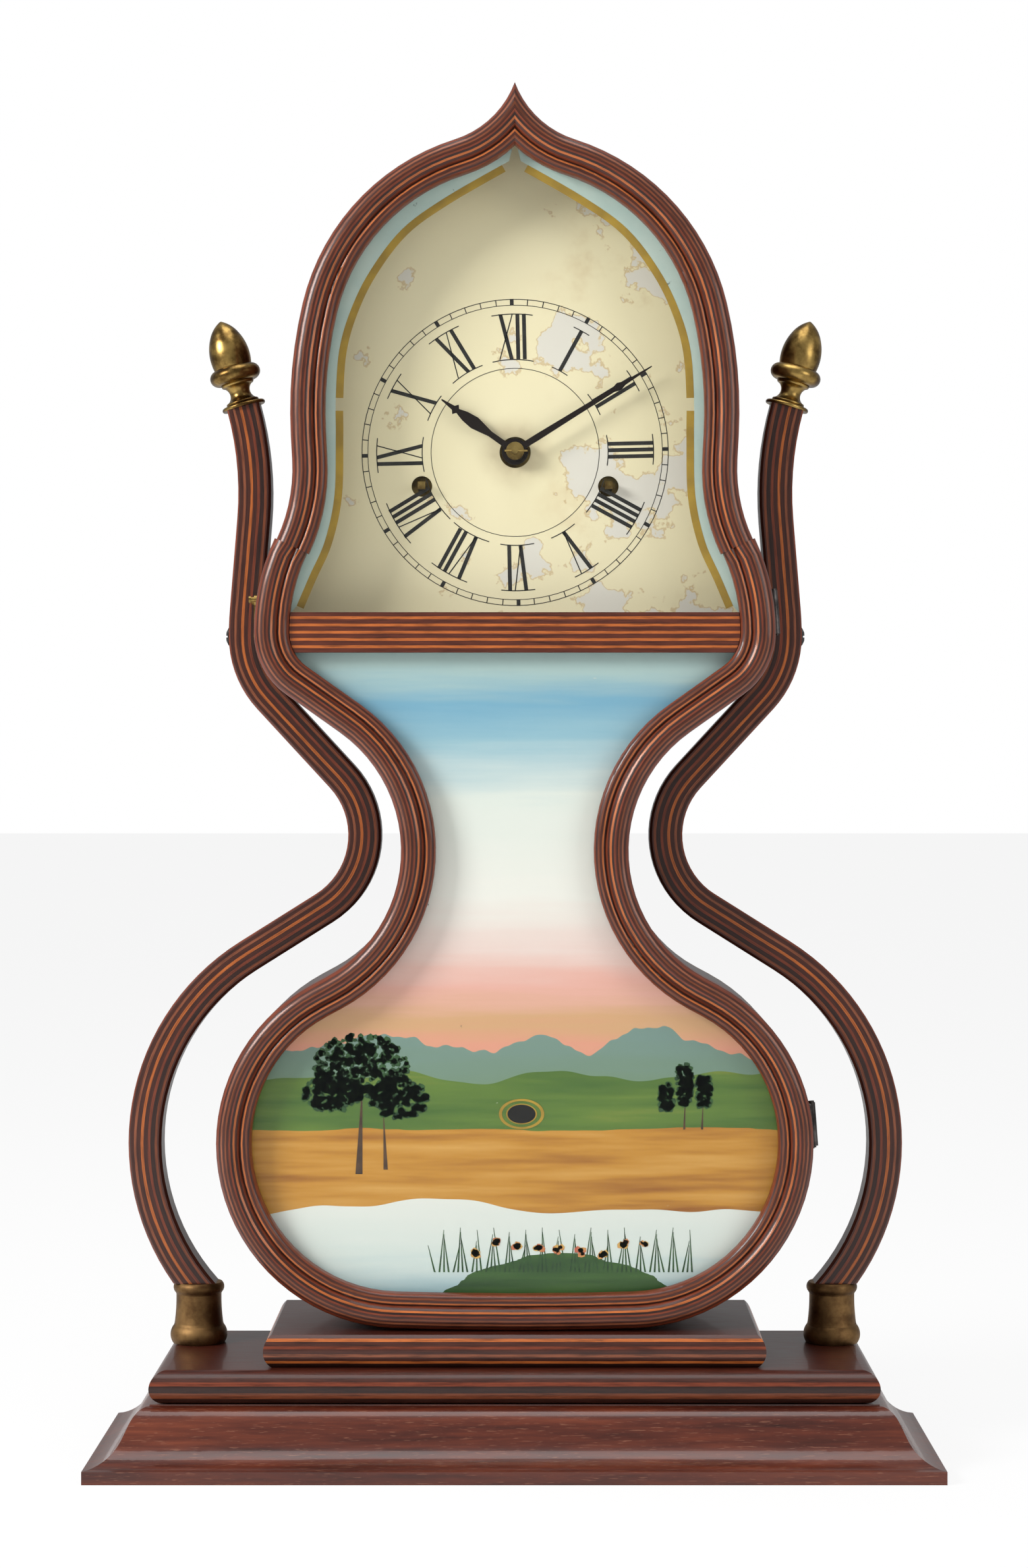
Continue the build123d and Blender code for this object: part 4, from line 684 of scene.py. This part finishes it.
def flat_mesh(name, polygons, y, thickness=MARK_THICKNESS):
    """Thin plates from outlines in (x, z) millimetres, with their front face at depth y in metres."""
    corners = []
    faces = []
    back = y + thickness * MM
    for outline in polygons:
        twice_area = sum(a[0] * b[1] - b[0] * a[1] for a, b in zip(outline, outline[1:] + outline[:1]))
        if twice_area < 0:
            outline = outline[::-1]
        count = len(outline)
        low = len(corners)
        corners += [(x * MM, y, z * MM) for x, z in outline]
        corners += [(x * MM, back, z * MM) for x, z in outline]
        faces.append(list(range(low, low + count)))
        faces.append(list(range(low + 2 * count - 1, low + count - 1, -1)))
        for k in range(count):
            after = (k + 1) % count
            faces.append([low + after, low + k, low + count + k, low + count + after])
    mesh = bpy.data.meshes.new(name)
    mesh.from_pydata(corners, [], faces)
    mesh.validate()
    return mesh


def on_dial(angle, r, shift=0.0):
    """A point of the dial: clockwise angle from the top, distance from the centre, and a sideways shift."""
    turned = angle + DIAL_TURN
    return (r * sin(turned) + shift * cos(turned), DIAL_Z + r * cos(turned) - shift * sin(turned))


def ring(inner, outer, start=0.0, end=2 * pi, count=120):
    """Four-sided pieces of a ring on the dial, or part of one."""
    pieces = []
    for k in range(count):
        a = start + (end - start) * k / count
        b = start + (end - start) * (k + 1) / count
        pieces.append([on_dial(a, outer), on_dial(b, outer), on_dial(b, inner), on_dial(a, inner)])
    return pieces


# Strokes of the numerals, and the thin arcs that close them, in millimetres
THICK, THIN, LETTER_GAP = 1.75, 0.5, 1.2
ARC_OVERHANG, ARC_HALF_WIDTH = 3.2, 0.22
LETTER_WIDTHS = {"I": THICK, "V": 6.2, "X": 6.6}
HOURS = ["XII", "I", "II", "III", "IIII", "V", "VI", "VII", "VIII", "IX", "X", "XI"]


def numeral(text, angle):
    """Thick and thin strokes of one numeral, with thin arcs at its two ends."""
    width = sum(LETTER_WIDTHS[letter] for letter in text) + LETTER_GAP * (len(text) - 1)
    low, high = NUMERAL_INNER, NUMERAL_OUTER
    strokes = []
    left = -width / 2

    def stroke(low_shift, high_shift, thickness):
        half = thickness / 2
        strokes.append(
            [
                on_dial(angle, low, low_shift - half), on_dial(angle, low, low_shift + half),
                on_dial(angle, high, high_shift + half), on_dial(angle, high, high_shift - half),
            ]
        )

    for letter in text:
        right = left + LETTER_WIDTHS[letter]
        if letter == "I":
            stroke(left + THICK / 2, left + THICK / 2, THICK)
        elif letter == "V":
            stroke((left + right) / 2, left + THICK / 2, THICK)
            stroke((left + right) / 2, right - THIN / 2, THIN)
        else:
            stroke(right - THICK / 2, left + THICK / 2, THICK)
            stroke(left + THIN / 2, right - THIN / 2, THIN)
        left = right + LETTER_GAP
    for r in (low, high):
        reach = (width / 2 + ARC_OVERHANG) / r
        strokes += ring(r - ARC_HALF_WIDTH, r + ARC_HALF_WIDTH, angle - reach, angle + reach, 6)
    return strokes


def round_repeat(name, count, radius, size, finish):
    """Small blocks set round the dial's centre by geometry nodes, as one plain mesh."""
    tree = bpy.data.node_groups.new(name, "GeometryNodeTree")
    tree.interface.new_socket("Geometry", in_out="OUTPUT", socket_type="NodeSocketGeometry")
    sockets = {"Count": "Int", "Radius": "Float", "Size": "Vector", "Centre": "Vector", "Turn": "Float"}
    for label, kind in sockets.items():
        tree.interface.new_socket(label, in_out="INPUT", socket_type="NodeSocket" + kind)

    def add(kind, **settings):
        made = tree.nodes.new(kind)
        for key, value in settings.items():
            setattr(made, key, value)
        return made

    def math(operation, first, second):
        made = add("ShaderNodeMath", operation=operation)
        for socket, value in zip(made.inputs, (first, second)):
            if isinstance(value, (int, float)):
                socket.default_value = value
            else:
                tree.links.new(value, socket)
        return made.outputs[0]

    given = add("NodeGroupInput").outputs
    index = add("GeometryNodeInputIndex").outputs[0]
    turn = math("ADD", math("MULTIPLY", math("DIVIDE", index, given["Count"]), 2 * pi), given["Turn"])
    spot = add("ShaderNodeCombineXYZ")
    tree.links.new(math("MULTIPLY", math("SINE", turn, 0.0), given["Radius"]), spot.inputs["X"])
    tree.links.new(math("MULTIPLY", math("COSINE", turn, 0.0), given["Radius"]), spot.inputs["Z"])
    moved = add("ShaderNodeVectorMath", operation="ADD")
    tree.links.new(spot.outputs[0], moved.inputs[0])
    tree.links.new(given["Centre"], moved.inputs[1])
    points = add("GeometryNodePoints")
    tree.links.new(given["Count"], points.inputs["Count"])
    tree.links.new(moved.outputs[0], points.inputs["Position"])
    block = add("GeometryNodeMeshCube")
    tree.links.new(given["Size"], block.inputs["Size"])
    facing = add("ShaderNodeCombineXYZ")
    tree.links.new(turn, facing.inputs["Y"])
    spread = add("GeometryNodeInstanceOnPoints")
    tree.links.new(points.outputs[0], spread.inputs["Points"])
    tree.links.new(block.outputs[0], spread.inputs["Instance"])
    tree.links.new(facing.outputs[0], spread.inputs["Rotation"])
    real = add("GeometryNodeRealizeInstances")
    tree.links.new(spread.outputs[0], real.inputs[0])
    coloured = add("GeometryNodeSetMaterial")
    coloured.inputs["Material"].default_value = finishes[finish]
    tree.links.new(real.outputs[0], coloured.inputs["Geometry"])
    tree.links.new(coloured.outputs[0], add("NodeGroupOutput").inputs[0])

    holder = bpy.data.objects.new(name + "_holder", bpy.data.meshes.new(name + "_holder"))
    bpy.context.scene.collection.objects.link(holder)
    modifier = holder.modifiers.new(name, "NODES")
    modifier.node_group = tree
    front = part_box("dial_plate")[0].y - MARK_LIFT * MM
    values = {
        "Count": count, "Radius": radius * MM, "Size": [side * MM for side in size],
        "Centre": [0.0, front, DIAL_Z * MM], "Turn": DIAL_TURN,
    }
    for socket in tree.interface.items_tree:
        if socket.in_out == "INPUT":
            modifier[socket.identifier] = values[socket.name]
    ready = holder.evaluated_get(bpy.context.evaluated_depsgraph_get())
    mesh = bpy.data.meshes.new_from_object(ready)
    bpy.data.objects.remove(holder)
    return new_piece(name, mesh, finish, "case")


class WoodSettings(bpy.types.PropertyGroup):
    """What a user would change in the striped wood."""

    waver: FloatProperty(
        name="Waver",
        description="How far the layers waver, as a share of the width",
        default=0.025,
        subtype="FACTOR",
    )
    polish: FloatProperty(
        name="Polish", description="Weight of the clear coat", default=0.25, subtype="FACTOR"
    )


class DialSettings(bpy.types.PropertyGroup):
    """What a user would change in the dial."""

    minutes: IntProperty(name="Minute marks", description="Marks round the track", default=60, min=12)
    blocks: IntProperty(name="Thick marks", description="Thick marks round the track", default=12, min=1)


class StageSettings(bpy.types.PropertyGroup):
    """What a user would change in the stage."""

    floor_colour: FloatVectorProperty(
        name="Floor", description="Colour of the floor", default=(0.9, 0.9, 0.9), subtype="COLOR"
    )
    lamp_power: FloatProperty(
        name="Main lamp", description="Power of the large lamp", default=30.0, subtype="POWER"
    )


class CLOCK_OT_striped_wood(bpy.types.Operator):
    """Stripe the door frame, case sides and arms"""

    bl_idname = "clock.striped_wood"
    bl_label = "Striped wood"

    def execute(self, context):
        outline = outline_route()
        arm = arm_route()
        bent_piece("door_frame", outline, 0.0, "frame")
        for node in ("case_side_left", "case_side_right"):
            bent_piece(node, outline, 0.0, "case")
        for node in ("left_arm", "right_arm"):
            bent_piece(node, arm, ARM_WIDTH / 2, "arm")
        return {"FINISHED"}


NODE_FINISHES = {
    "mahogany": ["base_front_moulding", "base_side_mouldings"],
    "board": ["base_board"],
    "plinth": ["plinth_board"],
    "bar": ["door_crossbar"],
    "softwood": [
        "backboard", "dial_blocks", "time_cone", "strike_cone", "upper_glazing_bead", "lower_glazing_bead",
    ],
    "brass": [
        "door_hook", "hook_screw", "hook_pin", "case_small_screws",
        "movement_front_plate", "movement_back_plate", "plate_pillars",
        "centre_wheel", "escape_wheel", "time_drum", "strike_drum", "count_wheel", "fly", "pendulum_bob",
        "minute_pipe", "minute_wheel", "hour_wheel", "hand_washer", "hand_pin",
    ],
    "finial": ["right_finial", "left_finial"],
    "bronze": ["right_arm_socket", "left_arm_socket"],
    "steel": [
        "hinge_case_leaves", "hinge_door_leaves", "hinge_pins", "hinge_door_screws", "arm_screws",
        "verge", "pendulum_rod", "strike_hammer", "gong", "gong_block", "mainsprings",
    ],
    "blued": ["minute_hand", "hour_hand"],
    "iron": ["cone_frame", "spring_barrels"],
    "cord": ["time_cord", "strike_cord"],
    "glass": ["upper_glass", "lower_tablet"],
    "dial": ["dial_plate"],
}


class CLOCK_OT_node_finishes(bpy.types.Operator):
    """Give the model's own pieces their woods, metals, glass and paint"""

    bl_idname = "clock.node_finishes"
    bl_label = "Metals, boards and glass"

    def execute(self, context):
        for finish, nodes in NODE_FINISHES.items():
            for node in nodes:
                piece = frame["nodes"][node]
                piece.data.materials.clear()
                piece.data.materials.append(finishes[finish])
        return {"FINISHED"}


class CLOCK_OT_dial(bpy.types.Operator):
    """Paint the chapter ring, numerals and minute track"""

    bl_idname = "clock.dial"
    bl_label = "Dial"

    def execute(self, context):
        settings = context.scene.clock_dial
        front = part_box("dial_plate")[0].y
        lines = ring(TRACK_OUTER - OUTER_LINE, TRACK_OUTER) + ring(TRACK_INNER - THIN_LINE, TRACK_INNER)
        lines += ring(INNER_CIRCLE - THIN_LINE, INNER_CIRCLE)
        circles = flat_mesh("dial_circles", lines, front - CIRCLE_LIFT * MM)
        new_piece("dial_circles", circles, "ink", "case")
        strokes = []
        for hour, text in enumerate(HOURS):
            strokes += numeral(text, hour * pi / 6)
        numerals = flat_mesh("dial_numerals", strokes, front - NUMERAL_LIFT * MM)
        new_piece("dial_numerals", numerals, "ink", "case")
        middle = (TRACK_OUTER + TRACK_INNER) / 2
        length = TRACK_OUTER - TRACK_INNER
        round_repeat("minute_marks", settings.minutes, middle, (*MINUTE_MARK, length), "ink")
        round_repeat("hour_marks", settings.blocks, middle, (*HOUR_MARK, length), "ink")
        return {"FINISHED"}


# The gold line's route behind the upper glass, from the crossbar up to the apex, in millimetres
GOLD_ROUTE = [
    (96.4, 382.5), (90.7, 395.8), (83.7, 411.7), (79.3, 432.6), (78.7, 459.0), (78.7, 476.5), (77.2, 497.5),
    (72.2, 515.1), (63.6, 532.6), (49.5, 551.0), (30.2, 565.1), (1.8, 581.4),
]
GOLD_WIDTH = 3.4
GOLD_BREAK_Z = 472.0
BORDER_INSET = 13.0
BORDER_CLEAR = 0.5
BORDER_FOOT_Z = SHOULDER_Z - 20


def smooth_route(points, steps=6):
    """A curve through every point."""
    padded = [points[0]] + points + [points[-1]]
    route = []
    for a, b, c, d in zip(padded, padded[1:], padded[2:], padded[3:]):
        for k in range(steps):
            t = k / steps
            spot = []
            for i in (0, 1):
                spot.append(
                    0.5
                    * (
                        2 * b[i]
                        + (c[i] - a[i]) * t
                        + (2 * a[i] - 5 * b[i] + 4 * c[i] - d[i]) * t**2
                        + (3 * b[i] - a[i] - 3 * c[i] + d[i]) * t**3
                    )
                )
            route.append(tuple(spot))
    return route + [points[-1]]


def strips(inner, outer, side):
    """Four-sided pieces between two routes of as many points, on one side of the clock."""
    pieces = []
    for a, b, c, d in zip(inner, inner[1:], outer[1:], outer):
        pieces.append([(side * x, z) for x, z in (a, b, c, d)])
    return pieces


def beside(route, distance):
    """A route moved to its right by a distance."""
    moved = []
    for k, (x, z) in enumerate(route):
        before, after = route[max(0, k - 1)], route[min(len(route) - 1, k + 1)]
        dx, dz = after[0] - before[0], after[1] - before[1]
        size = hypot(dx, dz)
        moved.append((max(0.0, x + dz / size * distance), z - dx / size * distance))
    return moved


def spread_evenly(route, count):
    """As many points as asked, evenly spaced along a route."""
    lengths = [0.0]
    for a, b in zip(route, route[1:]):
        lengths.append(lengths[-1] + hypot(b[0] - a[0], b[1] - a[1]))
    points = []
    here = 0
    for k in range(count):
        target = lengths[-1] * k / (count - 1)
        while here < len(route) - 2 and lengths[here + 1] < target:
            here += 1
        share = (target - lengths[here]) / (lengths[here + 1] - lengths[here])
        a, b = route[here], route[here + 1]
        points.append((a[0] + (b[0] - a[0]) * share, a[1] + (b[1] - a[1]) * share))
    return points


class CLOCK_OT_upper_border(bpy.types.Operator):
    """Paint the pale border and gold line behind the upper glass"""

    bl_idname = "clock.upper_border"
    bl_label = "Upper border"

    def execute(self, context):
        low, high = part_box("upper_glass")
        behind = high.y + GAP
        bottom = low.z / MM
        edge = []
        for x, z, nx, nz, length in outline_route():
            edge_x, edge_z = x - nx * BORDER_INSET, z - nz * BORDER_INSET
            if edge_z > bottom + BORDER_CLEAR and edge_x > -BORDER_CLEAR and z > BORDER_FOOT_Z:
                edge.append((max(0.0, edge_x), edge_z))
        gold = smooth_route(GOLD_ROUTE)
        count = len(gold)
        outer = spread_evenly(edge, count)
        gold_inner = beside(gold, -GOLD_WIDTH / 2)
        gold_outer = beside(gold, GOLD_WIDTH / 2)
        border = strips(gold_outer, outer, 1) + strips(gold_outer, outer, -1)
        border_mesh = flat_mesh("upper_border", border, behind + GAP)
        new_piece("upper_border", border_mesh, "border", "door")
        line = []
        gap_at = next(k for k, (x, z) in enumerate(gold) if z > GOLD_BREAK_Z)
        for side in (1, -1):
            for start, end in ((0, gap_at), (gap_at + 1, count - 1)):
                line += strips(gold_inner[start:end], gold_outer[start:end], side)
        new_piece("gold_line", flat_mesh("gold_line", line, behind), "gold", "door")
        return {"FINISHED"}


def crown(centre_x, centre_z, half_width, half_height, leaves, seed):
    """A tree's crown: many small leaf tufts inside an oval."""
    chance = random.Random(seed)
    tufts = []
    for k in range(leaves):
        angle = chance.uniform(0, 2 * pi)
        reach = sqrt(chance.random())
        x = centre_x + half_width * reach * cos(angle)
        z = centre_z + half_height * reach * sin(angle)
        size = chance.uniform(0.9, 2.0)
        turn = chance.uniform(0, pi)
        corners = []
        for t in range(6):
            around = turn + t * pi / 3
            corners.append((x + size * cos(around), z + size * (0.7 + 0.3 * (t % 2)) * sin(around)))
        tufts.append(corners)
    return tufts


def blade(x, z, height, lean, width):
    """One reed or trunk: a tapered strip."""
    foot, top = width / 2, 0.1
    return [(x - foot, z), (x + foot, z), (x + lean + top, z + height), (x + lean - top, z + height)]


# What stands in the tablet's view, in millimetres.
# A tree's crown is (centre x, centre z, half width, half height, leaves, seed).
# A trunk is (x, z, height, lean, width).
CROWNS = [
    (-69, 176, 21, 15, 420, 3), (-52, 162, 13, 9, 200, 4), (-82, 164, 13, 8, 180, 5),
    (76, 168, 3.6, 10, 90, 6), (85, 165, 3.2, 8, 70, 7), (68, 162, 3.0, 7, 60, 8),
]
TRUNKS = [
    (-70, 128, 40, 1.5, 3.2), (-58, 130, 26, -1.0, 2.0), (76, 148, 14, 0.5, 1.0), (84, 148, 12, 0.5, 1.0),
]
REED_COUNT, REED_STEP, REED_LEFT, REED_Z = 56, 2.1, 36, 84
BLOOM_COUNT, BLOOM_STEP, BLOOM_LEFT, BLOOM_Z, BLOOM_SEED = 9, 9.5, -18, 92, 20

# The oval in the middle of the view, its window filled with a dark sheet of painted shade, and its gold
# rims, each rim between two shares of the oval's size
OVAL_X, OVAL_Z = 3.0, 155.0
OVAL_HALF, WINDOW_HALF = (10.2, 6.8), (6.3, 4.2)
OVAL_RIMS = ((0.86, 1.0), (0.62, 0.68))
RIM_PIECES, WINDOW_CORNERS = 64, 40


def oval_point(half, share, angle):
    """A point of an oval round the tablet's middle."""
    return (OVAL_X + half[0] * share * cos(angle), OVAL_Z + half[1] * share * sin(angle))


def reed(k):
    """One reed of the near bank, of a height and lean that change from one to the next."""
    return blade(k * REED_STEP - REED_LEFT, REED_Z, 12 + (k * 7) % 9, (k * 5) % 7 - 3, 0.8)


def bloom(k):
    """One small flower of the near bank."""
    return crown(BLOOM_LEFT + k * BLOOM_STEP, BLOOM_Z + (k * 5) % 6, 1.6, 1.5, 5, BLOOM_SEED + k)


class CLOCK_OT_tablet(bpy.types.Operator):
    """Paint a made-up lake view behind the lower glass"""

    bl_idname = "clock.tablet"
    bl_label = "Lower tablet"

    def execute(self, context):
        low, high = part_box("lower_tablet")
        behind = high.y + GAP
        mesh = merged_copy("lower_tablet")
        for corner in mesh.vertices:
            thickness = 2 * GAP if corner.co.y > (low.y + high.y) / 2 else 0.0
            corner.co.y = behind + thickness + 4 * GAP
        new_piece("tablet_view", mesh, "view", "door")
        trunks = [blade(*trunk) for trunk in TRUNKS]
        leaves = [tuft for tree in CROWNS for tuft in crown(*tree)] + [reed(k) for k in range(REED_COUNT)]
        petals = [tuft for k in range(BLOOM_COUNT) for tuft in bloom(k)]
        layers = [
            ("tablet_trunks", "bark", trunks),
            ("tablet_foliage", "foliage", leaves),
            ("tablet_petals", "petal", petals),
        ]
        for k, (name, finish, plates) in enumerate(layers):
            layer = flat_mesh(name, plates, behind + (3 - k) * GAP, PAINT_THICKNESS)
            new_piece(name, layer, finish, "door")
        rims = []
        for inner, outer in OVAL_RIMS:
            for k in range(RIM_PIECES):
                a, b = 2 * pi * k / RIM_PIECES, 2 * pi * (k + 1) / RIM_PIECES
                corners = ((outer, a), (outer, b), (inner, b), (inner, a))
                rims.append([oval_point(OVAL_HALF, share, angle) for share, angle in corners])
        rim_mesh = flat_mesh("tablet_oval_rim", rims, behind, PAINT_THICKNESS)
        new_piece("tablet_oval_rim", rim_mesh, "gold", "door")
        # The oval window is not clear: an opaque near-black sheet of painted shade fills it in front of the
        # view, for the case's shaded inside, and hides the pendulum bob
        turns = [2 * pi * k / WINDOW_CORNERS for k in range(WINDOW_CORNERS)]
        window = [[oval_point(WINDOW_HALF, 1.0, angle) for angle in turns]]
        shade_sheet_mesh = flat_mesh("tablet_oval_painted_shade", window, behind + GAP / 2, PAINT_THICKNESS)
        new_piece("tablet_oval_painted_shade", shade_sheet_mesh, "hole", "door")
        return {"FINISHED"}


# Camera, from the photograph's perspective, in metres and pixels
PHOTO_HEIGHT_PX = 2380.0
FOCAL_PX = 4909.0
EYE = (0.007, -1.4635, 0.315)
AXIS_SHIFT_PX = (-25.0, -40.0)
SENSOR_HEIGHT_MM = 36.0

# Floor, lamps and world, in metres. A lamp is (name, place, size, share of the main lamp's power).
FLOOR_REACH, FLOOR_FRONT = 12.0, -3.0
FLOOR_GLOW = 0.86
WORLD_LIGHT, WORLD_BACKDROP = 0.42, 1.0
LAMPS = (
    ("left_lamp", (-1.4, -0.9, 1.1), 0.6, 1.0),
    ("right_lamp", (1.5, -1.2, 0.8), 0.9, 0.3),
    ("top_lamp", (0.0, -0.3, 1.9), 1.0, 0.4),
)
LAMP_TARGET = Vector((0.0, 0.0, 0.3))


class CLOCK_OT_stage(bpy.types.Operator):
    """Set the floor, lamps, world and camera"""

    bl_idname = "clock.stage"
    bl_label = "Stage"

    def execute(self, context):
        settings = context.scene.clock_stage
        scene = context.scene
        floor_mesh = bpy.data.meshes.new("floor")
        corners = [
            (-FLOOR_REACH, FLOOR_FRONT, 0), (FLOOR_REACH, FLOOR_FRONT, 0),
            (FLOOR_REACH, FLOOR_REACH, 0), (-FLOOR_REACH, FLOOR_REACH, 0),
        ]
        floor_mesh.from_pydata(corners, [], [(0, 1, 2, 3)])
        floor = bpy.data.objects.new("floor", floor_mesh)
        scene.collection.objects.link(floor)
        finish = Finish("Floor")
        finish.coat(Base_Color=(*settings.floor_colour, 1.0), Roughness=0.9)
        paths = finish.tree.nodes.new("ShaderNodeLightPath")
        camera_ray = Value(finish, paths.outputs["Is Camera Ray"])
        glow = finish.node("ShaderNodeEmission", None, {"Color": (1.0, 1.0, 1.0, 1.0), "Strength": 1.0})
        mixed = finish.tree.nodes.new("ShaderNodeMixShader")
        finish.feed(mixed.inputs[0], camera_ray * FLOOR_GLOW)
        finish.tree.links.new(finish.surface.outputs[0], mixed.inputs[1])
        finish.feed(mixed.inputs[2], glow)
        finish.tree.links.new(mixed.outputs[0], finish.tree.nodes["Material Output"].inputs["Surface"])
        floor_mesh.materials.append(finish.material)

        world = bpy.data.worlds.new("Studio")
        scene.world = world
        world.use_nodes = True
        nodes, links = world.node_tree.nodes, world.node_tree.links
        background = nodes["Background"]
        background.inputs["Color"].default_value = (1.0, 1.0, 1.0, 1.0)
        light_path = nodes.new("ShaderNodeLightPath")
        strength = nodes.new("ShaderNodeMapRange")
        strength.inputs["To Min"].default_value = WORLD_LIGHT
        strength.inputs["To Max"].default_value = WORLD_BACKDROP
        links.new(light_path.outputs["Is Camera Ray"], strength.inputs["Value"])
        links.new(strength.outputs[0], background.inputs["Strength"])

        for name, place, size, share in LAMPS:
            lamp = bpy.data.lights.new(name, "AREA")
            lamp.size = size
            lamp.energy = settings.lamp_power * share
            stand = bpy.data.objects.new(name, lamp)
            stand.location = place
            stand.rotation_euler = (LAMP_TARGET - Vector(place)).to_track_quat("-Z", "Y").to_euler()
            scene.collection.objects.link(stand)

        camera = bpy.data.cameras.new("camera")
        camera.sensor_fit = "VERTICAL"
        camera.sensor_height = SENSOR_HEIGHT_MM
        camera.lens = camera.sensor_height * FOCAL_PX / PHOTO_HEIGHT_PX
        camera.shift_x = AXIS_SHIFT_PX[0] / PHOTO_HEIGHT_PX
        camera.shift_y = AXIS_SHIFT_PX[1] / PHOTO_HEIGHT_PX
        eye = bpy.data.objects.new("camera", camera)
        eye.location = EYE
        eye.rotation_euler = (pi / 2, 0.0, 0.0)
        scene.collection.objects.link(eye)
        scene.camera = eye
        scene.view_settings.view_transform = "Standard"
        return {"FINISHED"}


class CLOCK_PT_panel(bpy.types.Panel):
    """The clock's finishing steps"""

    bl_idname = "CLOCK_PT_panel"
    bl_label = "Shelf clock"
    bl_space_type = "VIEW_3D"
    bl_region_type = "UI"
    bl_category = "Shelf clock"

    def draw(self, context):
        for step in STEPS:
            self.layout.operator(step.bl_idname)


STEPS = (
    CLOCK_OT_striped_wood,
    CLOCK_OT_node_finishes,
    CLOCK_OT_dial,
    CLOCK_OT_upper_border,
    CLOCK_OT_tablet,
    CLOCK_OT_stage,
)
SETTINGS = {"clock_wood": WoodSettings, "clock_dial": DialSettings, "clock_stage": StageSettings}


def register():
    """Add the settings, steps and panel."""
    for name, group in SETTINGS.items():
        bpy.utils.register_class(group)
        setattr(bpy.types.Scene, name, PointerProperty(type=group))
    for step in STEPS + (CLOCK_PT_panel,):
        bpy.utils.register_class(step)


def unregister():
    """Take them away again."""
    for step in reversed(STEPS + (CLOCK_PT_panel,)):
        bpy.utils.unregister_class(step)
    for name, group in SETTINGS.items():
        delattr(bpy.types.Scene, name)
        bpy.utils.unregister_class(group)


def main():
    """Make every finish and piece in order."""
    register()
    make_finishes()
    bpy.ops.clock.striped_wood()
    bpy.ops.clock.node_finishes()
    bpy.ops.clock.dial()
    bpy.ops.clock.upper_border()
    bpy.ops.clock.tablet()
    bpy.ops.clock.stage()


if __name__ == "__main__":
    main()
